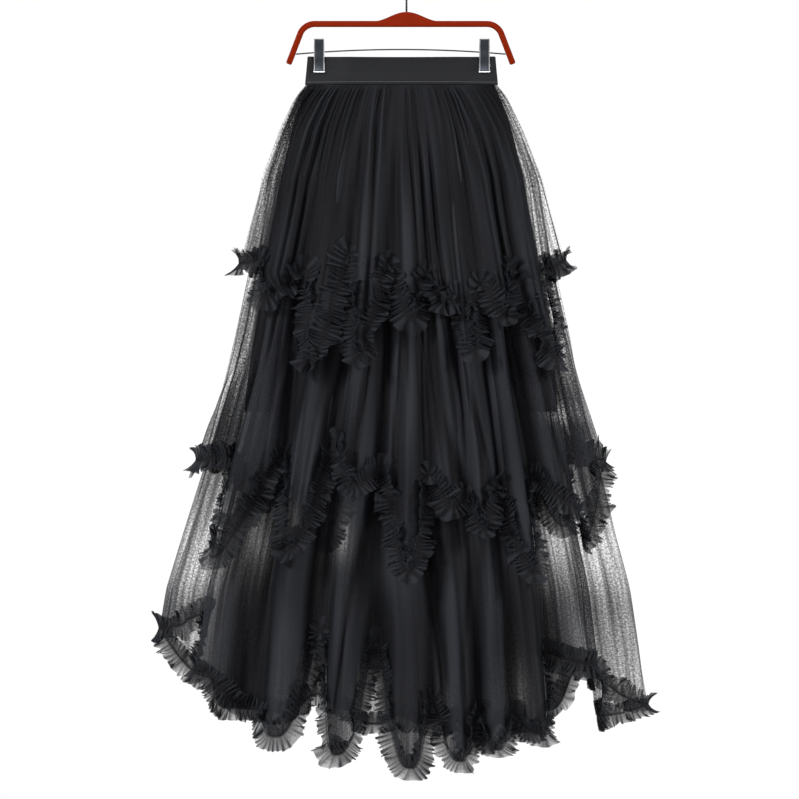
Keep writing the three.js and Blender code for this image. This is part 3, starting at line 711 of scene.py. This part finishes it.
def ruffle_grid(tier):
    line, outward, across, along, at, length, pleats = hem_path(tier)
    places = len(line)
    walk = np.arange(places) / places
    seed = tier["seed"] * 101

    def wander(number, every, count):
        return slow_noise(walk, 0 * walk, seed + number, around=pleats // every, count=count)

    rng = np.random.default_rng(seed)

    def by_pleat():
        """One random size for each pleat, led smoothly over into the next."""
        sizes = np.repeat(rng.normal(size=pleats), SAMPLES_PER_PLEAT)
        return (np.roll(sizes, 1) + 2 * sizes + np.roll(sizes, -1)) / 4

    phase = 2 * math.pi * pleats * walk + 1.3 * wander(0, 4, 60) + 0.5 * by_pleat()
    swing = PLEAT_SWING_MM * np.clip(1 + 0.3 * wander(1, 8, 30) + 0.45 * by_pleat(), 0.1, 2.2)
    clump = np.exp(-((side_share(at) / SIDE_CLUMP) ** 2))
    lean = 2.2 * by_pleat() + 2.5 * wander(5, 3, 60)
    uneven = {-1: by_pleat(), 0: np.zeros(places), 1: by_pleat()}
    raised = {-1: by_pleat(), 0: np.zeros(places), 1: by_pleat()}
    stand = 1 + 0.45 * wander(2, 14, 24)
    wing = 1 + 0.13 * wander(3, 6, 30)
    thin = 0.1 * wander(4, 5, 30)
    rows, covers, painted_pleat_light = [], [], []
    for t in ACROSS:
        a = abs(t)
        turn = phase + 0.5 * t
        half = int(np.sign(t))
        ragged = RAGGED[tier["name"]] + 0.05 * clump
        edge = 1 + a * (ragged * uneven[half] + 0.04 * np.cos(turn) - 0.1 * clump)
        reach = WING_MM * t * wing * edge * (1 - 0.14 * a * np.clip(stand, 0, 2))
        standing = np.clip(stand + (0.35 + 0.4 * clump) * raised[half], 0, 2.4)
        lift = STITCH_OFF_MM + RUFFLE_LIFT_MM * a**1.4 * standing
        fold = swing * a**0.7 * np.cos(turn)
        sway = 0.22 * swing * a * np.sin(2 * turn) + lean * a**1.5
        stood_out = line + across * reach[:, None] + outward * (lift + fold)[:, None]
        rows.append(stood_out + along * sway[:, None])
        cover = RUFFLE_COVER["middle"] + (RUFFLE_COVER["edge"] - RUFFLE_COVER["middle"]) * a**1.5
        covers.append(cover + thin * a + RUFFLE_COVER["pleat"] * a * np.abs(np.cos(turn / 2)) ** 6)
        # Painted light on each pleat's crest and painted shade between pleats, stronger towards the free
        # edges, stored as the ridge attribute.
        painted_pleat_light.append((0.5 + 0.5 * np.cos(turn)) * min(1, 3 * a))
    points = np.stack(rows)
    cover = np.stack(covers)
    cover[ACROSS == 0] = RUFFLE_COVER["stitch"]
    u = np.broadcast_to(np.append(walk, 1.0) * length * MM, (len(ACROSS), places + 1))
    v = np.broadcast_to(ACROSS[:, None] * WING_MM * MM, u.shape)
    attributes = {"cover": np.clip(cover, 0.3, 0.99), "ridge": np.stack(painted_pleat_light)}
    return points, np.stack([u, v], axis=-1), attributes, length


for tier in TIERS:
    points, uv, attributes, length = ruffle_grid(tier)
    name = object_name(tier["title"], "ruffle")
    piece = grid_object(name, points, uv, attributes, ring=True)
    piece.data.materials.append(ruffle_tulle)
    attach(piece, "root")
    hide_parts(f"ruffle_{tier['name']}")

# %% [markdown]
# ## Lining
# Under the net hangs a slip of plain opaque cloth, a light crepe with its dull side out. It makes the
# darkest part of the skirt and ends about halfway down. Its folds follow those of the net, but they are
# only about a third as deep.

# %% Lining panels
LINING_PLACES = 480
LINING_ROWS = 40
LINING_FOLDINESS = 0.35
LINING_FINE = 0.35

DULL_CLOTH = {"Roughness": 0.7, "Specular IOR Level": 0.3}
lining_cloth, shader = new_material("Black woven lining, dull side out", DULL_CLOTH)
thread = add_node(lining_cloth, "ShaderNodeUVMap", uv_map="Cloth").outputs[0]
slub = {"Vector": thread, "Scale": 420.0, "Detail": 2.0}
two_tones(lining_cloth, shader, "#0b0b0d", "#151518", slub)

share = np.linspace(0, 1, LINING_PLACES + 1)[None, :]
below = np.linspace(0, LINING_LENGTH, LINING_ROWS)[:, None] * np.ones_like(share)
foldiness = LINING_FOLDINESS * smooth((below - 130) / 115)
points, _ = cloth_points("lining", share, below, 11, foldiness=foldiness, fine=LINING_FINE)
for side, places in panel_columns(LINING_PLACES).items():
    panel = points[:, places]
    piece = grid_object(f"Lining_{side}", panel, panel_uv(panel), {})
    piece.data.materials.append(lining_cloth)
    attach(piece, "root")
    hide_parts(f"lining_{side}")
    length = LINING_LENGTH * MM

# %% [markdown]
# ## Helpers for modelling by hand
# The hard pieces are modelled as one would with the mouse: a primitive is added, its corners or faces are
# picked by their place, and an operator or a modifier shapes them. Everything is deselected first,
# because an operator acts on all that is selected.

# %% Modelling helpers


def start_clean():
    bpy.ops.object.select_all(action="DESELECT")


def pick(piece):
    start_clean()
    bpy.context.view_layer.objects.active = piece
    piece.select_set(True)


def edit(piece):
    pick(piece)
    bpy.ops.object.mode_set(mode="EDIT")
    bpy.ops.mesh.select_all(action="SELECT")


def leave():
    bpy.ops.object.mode_set(mode="OBJECT")


def close_up():
    """In edit mode, merges points that coincide and turns all faces outwards."""
    bpy.ops.mesh.select_all(action="SELECT")
    bpy.ops.mesh.remove_doubles(threshold=1e-6)
    bpy.ops.mesh.normals_make_consistent(inside=False)


def select_faces(piece, wanted):
    """In edit mode, selects the faces for which wanted(face) is true."""
    mesh = bmesh.from_edit_mesh(piece.data)
    for face in mesh.faces:
        face.select_set(bool(wanted(face)))
    bmesh.update_edit_mesh(piece.data)


def apply_modifier(piece, kind, **settings):
    pick(piece)
    modifier = piece.modifiers.new(kind.title(), kind)
    for name, value in settings.items():
        setattr(modifier, name, value)
    bpy.ops.object.modifier_apply(modifier=modifier.name)


def bevel(piece, width_mm, segments, from_deg):
    """Rounds the edges at which two faces turn by more than an angle."""
    only = {"limit_method": "ANGLE", "angle_limit": math.radians(from_deg)}
    apply_modifier(piece, "BEVEL", width=width_mm * MM, segments=segments, **only)


def settle(piece, name, material, node, sharp_deg=40):
    """Names a finished piece, puts its place in its mesh, smooths it and hands it to the frame."""
    pick(piece)
    bpy.ops.object.transform_apply(location=True, rotation=True, scale=True)
    bpy.ops.object.shade_smooth_by_angle(angle=math.radians(sharp_deg))
    piece.name = name
    piece.data.name = name
    if len(piece.data.materials) < 2:
        piece.data.materials.clear()
        piece.data.materials.append(material)
    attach(piece, "root")
    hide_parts(node)
    print(name, "faces", len(piece.data.polygons))


# %% [markdown]
# ## Waistband
# The waistband is one piece of 40 mm elastic, 2 mm thick, joined into a ring and held flat by the clips.
# Its section is folded at both ends, pressed together under each clip and a little open between them.
# Ribs of covered rubber run along it, and they show as fine level lines.

# %% Waistband
BAND_HEIGHT = 40
BAND_HALF_WALL = 1.0
BAND_END_RADIUS = 3.4
BAND_PINCHED = 1.35
BAND_ROWS = named_rows(
    "down half_width half_depth pinch",
    (0, 130.6, 9, 1),
    (10, 131.4, 9.5, 1),
    (21, 132.4, 11, 1),
    (30, 133.3, 13.5, 0.4),
    (40, 134.2, 16, 0),
)
BAND_HELD = {"from": 7, "to": 23.2, "free": 62}
BAND_DIP_MM = 1.2


def band_ring(down):
    """A closed ring of points on the band's middle surface at one depth, and its outward ways."""
    half_width = column_of(BAND_ROWS, "half_width", down, key="down")
    half_depth = column_of(BAND_ROWS, "half_depth", down, key="down")
    pinch = column_of(BAND_ROWS, "pinch", down, key="down")
    fold = BAND_END_RADIUS * (1 - np.cos(np.linspace(0, math.pi / 2, 9)))
    from_end = np.concatenate([fold, np.linspace(5, half_width, 66)])
    x = half_width - from_end
    free = half_depth * np.sqrt(np.maximum(1 - (x / half_width) ** FLAT_SQUARENESS, 0))
    inside = np.minimum(from_end, BAND_END_RADIUS)
    bent = np.sqrt(BAND_END_RADIUS**2 - (BAND_END_RADIUS - inside) ** 2)
    flat = smooth((from_end - BAND_END_RADIUS) / (BAND_HELD["from"] - BAND_END_RADIUS))
    held = bent + (BAND_PINCHED - bent) * flat
    opening = smooth((from_end - BAND_HELD["to"]) / (BAND_HELD["free"] - BAND_HELD["to"]))
    y = free + (held + (half_depth - held) * opening - free) * pinch
    quarter = np.stack([x, y], axis=1)
    right_back = quarter * [1, 1]
    right_front = quarter[::-1] * [1, -1]
    left_front = quarter * [-1, -1]
    left_back = quarter[::-1] * [-1, 1]
    ring = np.concatenate([left_front, right_front[1:], right_back[1:], left_back[1:-1]])
    along = np.roll(ring, -1, axis=0) - np.roll(ring, 1, axis=0)
    along /= np.linalg.norm(along, axis=1, keepdims=True)
    return ring + [MIDDLE_LINE[0]["x"], 0], np.stack([along[:, 1], -along[:, 0]], axis=1)


def band_points(down, off):
    """A level ring of points at some way off the band's middle surface, with the top edge's slight dip."""
    ring, outward = band_ring(down)
    place = ring + outward * off
    across = (place[:, 0] - MIDDLE_LINE[0]["x"]) / BAND_ROWS[0]["half_width"]
    dip = BAND_DIP_MM * (1 - across**2) * (1 - down / BAND_HEIGHT)
    return np.column_stack([place, BAND_TOP_Z - down - np.maximum(dip, 0)])


outer = [(down, BAND_HALF_WALL) for down in np.linspace(0.7, 39.3, 26)]
lower_edge = [(39.85, 0.6), (40, 0), (39.85, -0.6)]
inner = [(down, -BAND_HALF_WALL) for down in np.linspace(39.3, 0.7, 12)]
upper_edge = [(0.15, -0.6), (0, 0), (0.15, 0.6)]
section = outer + lower_edge + inner + upper_edge
band_rows = np.stack([band_points(down, off) for down, off in section + section[:1]])
around = np.linalg.norm(np.diff(band_rows[0, :, :2], axis=0, append=band_rows[0, :1, :2]), axis=1)
u = np.concatenate([[0], np.cumsum(around)])
v = np.concatenate([[0], np.cumsum(np.hypot(*np.diff(np.array(section + section[:1]), axis=0).T))])
band_uv = np.stack(np.broadcast_arrays(u[None, :], -v[:, None]), axis=-1) * MM
band = grid_object("Elastic_waistband", band_rows, band_uv, {}, ring=True)
edit(band)
close_up()
leave()

RIBS_PER_M = 620
elastic, shader = new_material("Ribbed black elastic", DULL_CLOTH)
uv = add_node(elastic, "ShaderNodeUVMap", uv_map="Cloth").outputs[0]
parts = add_node(elastic, "ShaderNodeSeparateXYZ", {0: uv})
waves = {0: parts.outputs[1], 1: 2 * math.pi * RIBS_PER_M}
turned = add_node(elastic, "ShaderNodeMath", waves, operation="MULTIPLY")
rib = add_node(elastic, "ShaderNodeMath", {0: turned.outputs[0]}, operation="SINE")
knit = two_tones(elastic, shader, "#0e0f12", "#16171a", {"Vector": uv, "Scale": 900.0, "Detail": 2.0})
height = add_node(elastic, "ShaderNodeMath", {0: rib.outputs[0], 1: knit.outputs[0]}, operation="ADD")
relief = {"Height": height.outputs[0], "Strength": 0.35, "Distance": 0.0003}
bump = add_node(elastic, "ShaderNodeBump", relief)
link(elastic, bump.outputs[0], shader, "Normal")
band.data.materials.append(elastic)
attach(band, "root")
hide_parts("waistband")
print("waistband rings", len(section), "faces", len(band.data.polygons))

# %% [markdown]
# ## Stitches of the waist seam
# One row of lockstitch holds the gathered tulle to the elastic, just above the band's lower edge. Each
# stitch is a short thread that is half sunk in the elastic. One stitch is made of a few rings, and it is
# repeated along the band.

# %% Waist stitches
STITCH_DOWN_MM = 36.2
STITCH_PITCH_MM = 3.6
STITCH_LENGTH_MM = 2.6
THREAD_RADIUS_MM = 0.4
STITCH_RINGS = [(0, 0.25), (0.12, 0.8), (0.5, 1.0), (0.88, 0.8), (1, 0.25)]
THREAD_SIDES = 6

ring, outward = band_ring(STITCH_DOWN_MM)
closed = np.concatenate([ring, ring[:1]])
walked = walked_along(closed)
count = int(walked[-1] // STITCH_PITCH_MM)


def on_band(at):
    """A place along the stitch line, and the outward direction there."""
    at = at % walked[-1]
    place = np.array([np.interp(at, walked, closed[:, axis]) for axis in (0, 1)])
    nearest = int(np.searchsorted(walked, at, side="right") - 1) % len(outward)
    return place, outward[nearest]


verts, faces = [], []
for number in range(count):
    start = number * walked[-1] / count
    first = len(verts)
    for part, thickness in STITCH_RINGS:
        place, way = on_band(start + part * STITCH_LENGTH_MM)
        for side in range(THREAD_SIDES):
            turn = 2 * math.pi * side / THREAD_SIDES
            out = BAND_HALF_WALL + THREAD_RADIUS_MM * thickness * math.cos(turn) * 0.8
            up = THREAD_RADIUS_MM * thickness * math.sin(turn)
            x, y = place + way * out
            verts.append((x * MM, y * MM, (BAND_TOP_Z - STITCH_DOWN_MM + up) * MM))
    for band_number in range(len(STITCH_RINGS) - 1):
        for side in range(THREAD_SIDES):
            a = first + band_number * THREAD_SIDES + side
            b = first + band_number * THREAD_SIDES + (side + 1) % THREAD_SIDES
            faces.append((a, b, b + THREAD_SIDES, a + THREAD_SIDES))
    faces.append(tuple(first + side for side in range(THREAD_SIDES))[::-1])
    last = first + (len(STITCH_RINGS) - 1) * THREAD_SIDES
    faces.append(tuple(last + side for side in range(THREAD_SIDES)))
mesh = bpy.data.meshes.new("Waist_stitches")
mesh.from_pydata(verts, [], faces)
mesh.shade_smooth()
stitches = bpy.data.objects.new("Waist_stitches", mesh)
bpy.context.collection.objects.link(stitches)
thread, shader = new_material("Dark grey sewing thread", {"Roughness": 0.5})
two_tones(thread, shader, "#4a4c52", "#74767d", {"Scale": 1500.0, "Detail": 1.0})
stitches.data.materials.append(thread)
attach(stitches, "root")
print("stitches:", count)

# %% [markdown]
# ## Hanger body
# The hanger is a flat bar of pressed metal under red lacquer, with a low hump under the hook and two arms
# that bend down. A circle with as many corners as the outline gives the face, its corners are moved to
# the outline, and the face is extruded to its depth. A bevel modifier then rounds the rims, which is what
# catches the light on thick lacquer.

# %% Hanger body
HANGER_TOP_Z = -78
BAR_TOP_Z = -90.6
BAR_HEIGHT = 7.2
ARM_WIDTH = 8.4
HANGER_DEPTH = 9
HUMP_HALF_WIDTH = 42
HUMP_FULLNESS = 0.8
BEND_RADIUS = 26
ARM_LENGTHS = {"left": 169, "right": 153}
ARM_TIP_Z = -149.5
ARM_SLOPE = math.radians(69)
TIP_ROUND = 2.4
RIM_MM = 1.7


def arc(x, z, radius, start, end, steps):
    turns = np.linspace(start, end, steps + 1)
    return [(x + radius * math.cos(t), z + radius * math.sin(t)) for t in turns]


def shoulder(length, inset):
    """The outer or inner edge of one shoulder, from the straight bar to near the arm's tip."""
    radius = BEND_RADIUS - inset
    drop = BEND_RADIUS * (1 - math.cos(ARM_SLOPE))
    run = (BAR_TOP_Z - drop - ARM_TIP_Z) / math.tan(ARM_SLOPE)
    centre_x = length - run - BEND_RADIUS * math.sin(ARM_SLOPE)
    bend = arc(centre_x, BAR_TOP_Z - BEND_RADIUS, radius, math.pi / 2, math.pi / 2 - ARM_SLOPE, 14)
    tip = (length - inset * math.sin(ARM_SLOPE), ARM_TIP_Z - inset * math.cos(ARM_SLOPE))
    return bend, tip


def half_outline(length):
    """The right half's outline: the top edge outwards, round the tip, and the bottom edge back in."""
    bend_out, tip_out = shoulder(length, 0)
    bend_in, tip_in = shoulder(length, ARM_WIDTH)
    bend_in = [(x, min(z, BAR_TOP_Z - BAR_HEIGHT) if x < bend_in[0][0] + 1 else z) for x, z in bend_in]
    down_arm = np.array([math.cos(ARM_SLOPE), -math.sin(ARM_SLOPE)])
    across = (np.array(tip_in) - tip_out) / ARM_WIDTH
    corner_out, corner_in = np.array(tip_out), np.array(tip_in)
    tip = []
    for share in np.linspace(0, 1, 5):
        turn = share * math.pi / 2
        up, in_by = TIP_ROUND * (1 - math.sin(turn)), TIP_ROUND * (1 - math.cos(turn))
        tip.append(corner_out - down_arm * up + across * in_by)
    for share in np.linspace(0, 1, 5):
        turn = share * math.pi / 2
        up, in_by = TIP_ROUND * (1 - math.cos(turn)), TIP_ROUND * (1 - math.sin(turn))
        tip.append(corner_in - down_arm * up - across * in_by)
    return bend_out + [tuple(p) for p in tip] + bend_in[::-1]


hump = []
for x in np.linspace(-HUMP_HALF_WIDTH, HUMP_HALF_WIDTH, 41):
    bell = ((1 + math.cos(math.pi * x / HUMP_HALF_WIDTH)) / 2) ** HUMP_FULLNESS
    hump.append((x, BAR_TOP_Z + (HANGER_TOP_Z - BAR_TOP_Z) * bell))
right = half_outline(ARM_LENGTHS["right"])
left = [(-x, z) for x, z in half_outline(ARM_LENGTHS["left"])][::-1]
outline = hump + right + left

start_clean()
bpy.ops.mesh.primitive_circle_add(vertices=len(outline), radius=0.1, fill_type="NGON")
hanger = bpy.context.object
for vertex, (x, z) in zip(hanger.data.vertices, outline):
    vertex.co = (x * MM, HANGER_DEPTH / 2 * MM, z * MM)
edit(hanger)
bpy.ops.mesh.extrude_region_move(TRANSFORM_OT_translate={"value": (0, -HANGER_DEPTH * MM, 0)})
bpy.ops.mesh.select_all(action="SELECT")
bpy.ops.mesh.normals_make_consistent(inside=False)
leave()
bevel(hanger, RIM_MM, segments=4, from_deg=50)

gloss = {"Roughness": 0.4, "Specular IOR Level": 0.05, "Coat Weight": 0.04, "Coat Roughness": 0.04}
lacquer, shader = new_material("Red lacquer on pressed metal", gloss)
two_tones(lacquer, shader, "#761900", "#872202", {"Scale": 14.0, "Detail": 2.0})
settle(hanger, "Hanger", lacquer, "hanger_body", sharp_deg=30)

# %% [markdown]
# ## Hook and bar
# The hook is one bent wire. A small circle is its section. It is extruded up for the stem, spun about a
# near point for the bend, extruded again, and spun about the middle of the hook. The photograph ends just
# above the hump, so the hook is finished plainly. The bar between the arms is a thinner wire with a
# slight arch, made with a single spin.

# %% Hook and bar
HOOK_WIRE_MM = 2.8
HOOK_RADIUS = 20 + HOOK_WIRE_MM / 2
HOOK_CENTRE_Z = -20
HOOK_JOINS = math.radians(-50)
HOOK_SPAN = math.radians(255)
STEM_BEND_RADIUS = 14
BAR_WIRE_MM = 2
BAR_FROM_X, BAR_TO_X = -154.7, 138.7
BAR_END_Z = -137
BAR_ARCH = 6.5
WIRE_SIDES = 14

heading = math.pi / 2 + HOOK_JOINS
join = np.array([HOOK_RADIUS * math.cos(HOOK_JOINS), HOOK_CENTRE_Z + HOOK_RADIUS * math.sin(HOOK_JOINS)])
bent = np.array([STEM_BEND_RADIUS * (1 - math.cos(-HOOK_JOINS)), STEM_BEND_RADIUS * math.sin(-HOOK_JOINS)])
slant = (join[0] - bent[0]) / math.cos(heading)
stem_top = join[1] - slant * math.sin(heading) - bent[1]
stem_foot = HANGER_TOP_Z + 0.3

start_clean()
foot = (0, 0, stem_foot * MM)
bpy.ops.mesh.primitive_circle_add(vertices=WIRE_SIDES, radius=HOOK_WIRE_MM / 2 * MM, location=foot)
hook = bpy.context.object
bpy.ops.object.transform_apply(location=True)
edit(hook)
bpy.ops.mesh.edge_face_add()
bpy.ops.mesh.extrude_region_move(TRANSFORM_OT_translate={"value": (0, 0, (stem_top - stem_foot) * MM)})
bend_centre = (STEM_BEND_RADIUS * MM, 0, stem_top * MM)
bpy.ops.mesh.spin(steps=10, angle=HOOK_JOINS, center=bend_centre, axis=(0, 1, 0))
step = (slant * math.cos(heading) * MM, 0, slant * math.sin(heading) * MM)
bpy.ops.mesh.extrude_region_move(TRANSFORM_OT_translate={"value": step})
bpy.ops.mesh.spin(steps=60, angle=HOOK_SPAN, center=(0, 0, HOOK_CENTRE_Z * MM), axis=(0, 1, 0))
close_up()
leave()
bevel(hook, 0.5, segments=3, from_deg=60)

steel, shader = new_material("Dark steel wire", {"Metallic": 1.0, "Roughness": 0.28})
two_tones(steel, shader, "#3a3c40", "#505256", {"Scale": 800.0, "Detail": 1.0})
settle(hook, "Hook", steel, "hanger_hook")
for axis, letter in ((0, "x"), (2, "z")):
    places = [v.co[axis] for v in hook.data.vertices]
    print("hook spans", letter, round(min(places), 4), round(max(places), 4))

half_span = (BAR_TO_X - BAR_FROM_X) / 2
arch_radius = (half_span**2 + BAR_ARCH**2) / (2 * BAR_ARCH)
half_turn = math.asin(half_span / arch_radius)
start_clean()
bpy.ops.mesh.primitive_circle_add(
    vertices=WIRE_SIDES,
    radius=BAR_WIRE_MM / 2 * MM,
    fill_type="NGON",
    location=(BAR_FROM_X * MM, 0, BAR_END_Z * MM),
    rotation=(0, math.pi / 2 - half_turn, 0),
)
bar = bpy.context.object
bpy.ops.object.transform_apply(location=True, rotation=True)
edit(bar)
middle = ((BAR_FROM_X + BAR_TO_X) / 2 * MM, 0, (BAR_END_Z + BAR_ARCH - arch_radius) * MM)
bpy.ops.mesh.spin(steps=24, angle=-2 * half_turn, center=middle, axis=(0, 1, 0))
close_up()
leave()
settle(bar, "Hanger_bar", steel, "hanger_bar")
across = [v.co.x for v in bar.data.vertices]
print("bar spans x", round(min(across), 4), round(max(across), 4))

# %% [markdown]
# ## Clips
# Each clip is two bent plates of sprung steel that turn on the bar's wire, with a coil between them. A
# plate starts as a flat box. It is cut across at several levels, the cuts are moved to the bent profile,
# and the lower lip is made a little wider, as it is on the real clip. The plates are copied, each with
# its own mesh.

# %% Clips
CLIP_X = {"left": -122.2, "right": 109.2}
CLIP_WIDTH = 14.6
JAW_WALL = 1.2
JAW_PROFILE = named_rows(
    "z spread widen",
    (-162.7, 4.25, 1.1),
    (-161.2, 3.3, 1.12),
    (-159.5, 2.75, 1.08),
    (-157.5, 2.65, 1.0),
    (-149, 2.65, 1.0),
    (-145.5, 3.5, 1.0),
    (-140.6, 4.6, 1.0),
    (-134.6, 4.6, 1.0),
    (-126.6, 6.0, 1.0),
    (-115.8, 8.2, 0.97),
)
JAW_TOP_Z, JAW_LIP_Z = JAW_PROFILE[-1]["z"], JAW_PROFILE[0]["z"]
WIRE_AT_CLIP_Z = -134.8
PANEL_RIM_MM = 1.5
PANEL_DEPTH_MM = 0.45

start_clean()
bpy.ops.mesh.primitive_cube_add(size=1, location=(0, 0, (JAW_TOP_Z + JAW_LIP_Z) / 2 * MM))
plate = bpy.context.object
plate.scale = (CLIP_WIDTH * MM, JAW_WALL * MM, (JAW_TOP_Z - JAW_LIP_Z) * MM)
bpy.ops.object.transform_apply(location=True, scale=True)
edit(plate)
for row in JAW_PROFILE[1:-1]:
    bpy.ops.mesh.select_all(action="SELECT")
    bpy.ops.mesh.bisect(plane_co=(0, 0, row["z"] * MM), plane_no=(0, 0, 1))
bpy.ops.mesh.select_all(action="DESELECT")
select_faces(plate, lambda face: face.normal.y < -0.9 and face.calc_center_median().z < (JAW_TOP_Z - 1) * MM)
bpy.ops.mesh.inset(thickness=PANEL_RIM_MM * MM, depth=-PANEL_DEPTH_MM * MM)
# The inset face gets a second material. It is painted dark as a reflection, while the rim is painted bright
# as a highlight.
plate.data.materials.append(None)
plate.data.materials.append(None)
plate.active_material_index = 1
bpy.ops.object.material_slot_assign()
leave()
for vertex in plate.data.vertices:
    z = vertex.co.z / MM
    vertex.co.x *= column_of(JAW_PROFILE, "widen", z, key="z")
    vertex.co.y -= (column_of(JAW_PROFILE, "spread", z, key="z") + JAW_WALL / 2) * MM
bevel(plate, 0.4, segments=3, from_deg=50)


def plated(name, dark, light, roughness):
    material, shader = new_material(name, {"Metallic": 1.0, "Roughness": roughness})
    two_tones(material, shader, dark, light, {"Scale": 700.0, "Detail": 2.0})
    return material


# One steel in two tones: the rims are painted bright as a highlight, and the inset faces dark as a dim
# reflection.
clip_rim_painted_highlight = plated("Clip plate rim painted bright as a highlight", "#c4c6ca", "#dcdee0", 0.35)
clip_face_painted_dark = plated("Clip plate face painted dark as a reflection", "#555a62", "#6c717a", 0.3)
plate.data.materials[0] = clip_rim_painted_highlight
plate.data.materials[1] = clip_face_painted_dark

COIL_RADIUS = 3.3
COIL_WIRE_MM = 1.2
COIL_TURNS = 6
COIL_LENGTH = 9.4

for side, clip_x in CLIP_X.items():
    for face, turn in (("front", 0), ("back", math.pi)):
        jaw = plate.copy()
        jaw.data = plate.data.copy()
        bpy.context.collection.objects.link(jaw)
        jaw.location = (clip_x * MM, 0, 0)
        jaw.rotation_euler = (0, 0, turn)
        name = object_name("Clip", side, face, "jaw")
        settle(jaw, name, clip_rim_painted_highlight, f"clip_{side}_{face}_jaw", sharp_deg=35)
    start_clean()
    bpy.ops.mesh.primitive_circle_add(
        vertices=8,
        radius=COIL_WIRE_MM / 2 * MM,
        location=(-COIL_LENGTH / 2 * MM + COIL_WIRE_MM / 2 * MM, 0, COIL_RADIUS * MM),
        rotation=(math.pi / 2, 0, 0),
    )
    coil = bpy.context.object
    bpy.ops.object.transform_apply(location=True, rotation=True)
    apply_modifier(
        coil,
        "SCREW",
        axis="X",
        angle=2 * math.pi,
        iterations=COIL_TURNS,
        screw_offset=(COIL_LENGTH - COIL_WIRE_MM) / COIL_TURNS * MM,
        steps=18,
        render_steps=18,
    )
    edit(coil)
    bpy.ops.mesh.normals_make_consistent(inside=False)
    leave()
    coil.location = (clip_x * MM, 0, WIRE_AT_CLIP_Z * MM)
    settle(coil, object_name("Clip", side, "spring"), steel, f"clip_{side}_spring")
bpy.data.objects.remove(plate)

# %% [markdown]
# ## Studio
# The skirt was photographed as a cut-out on white. A round pale floor lies under it, out of the picture,
# and the air around is white to the eye but gives only a little light. Black net shows its folds only in
# light that rakes across them, so the light from the left side is the strongest and the one from the
# front is the weakest.

# %% Floor, lights and world
FLOOR_Z = -1.32
FLOOR_RADIUS = 1.45

start_clean()
centre = (0, 0, FLOOR_Z)
bpy.ops.mesh.primitive_circle_add(vertices=96, radius=FLOOR_RADIUS, fill_type="NGON", location=centre)
floor = bpy.context.object
floor.name = "Round_floor"
paper, shader = new_material("White studio paper", {"Roughness": 0.9})
two_tones(paper, shader, "#e9e9e9", "#f0f0f0", {"Scale": 9.0, "Detail": 4.0})
floor.data.materials.append(paper)
floor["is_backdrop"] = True


def soft_light(name, place, target, size, watts):
    data = bpy.data.lights.new(name, "AREA")
    data.shape = "DISK"
    data.size = size
    data.energy = watts
    light = bpy.data.objects.new(name, data)
    light.location = place
    light.rotation_euler = (Vector(target) - Vector(place)).to_track_quat("-Z", "Y").to_euler()
    bpy.context.collection.objects.link(light)


MIDDLE = (0, 0, -0.6)
soft_light("Left key", (-2.4, -1.9, 0.6), MIDDLE, 1.0, 85)
soft_light("Right key", (2.5, -1.2, 0.3), MIDDLE, 1.0, 48)
soft_light("Front fill", (0.3, -4.0, 0.8), MIDDLE, 2.0, 14)
soft_light("Back fill", (0.6, 3.6, 0.6), MIDDLE, 2.0, 55)
soft_light("Top", (0, -0.6, 2.0), MIDDLE, 1.2, 20)

SEEN_AIR = 1.02
LIGHTING_AIR = 0.22
world = bpy.data.worlds.new("Studio air")
world.use_nodes = True
air = world.node_tree.nodes["Background"]
seen = add_node(world, "ShaderNodeLightPath").outputs["Is Camera Ray"]
strength = add_node(world, "ShaderNodeMapRange", {0: seen, 3: LIGHTING_AIR, 4: SEEN_AIR})
link(world, strength.outputs[0], air, 1)
air.inputs[0].default_value = (1, 1, 1, 1)
bpy.context.scene.world = world
bpy.context.scene.view_settings.view_transform = "Standard"
bpy.context.scene.cycles.transparent_max_bounces = 64

# %% [markdown]
# ## Sizes
# Both boxes, the measured one and the finished one, are printed side by side.

# %% Write the sizes and finish
VISUAL_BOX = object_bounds()
boxes = {"cad": CAD_BOX, "visual": VISUAL_BOX}
for name, box in boxes.items():
    print(name, [[round(value, 3) for value in corner] for corner in box])
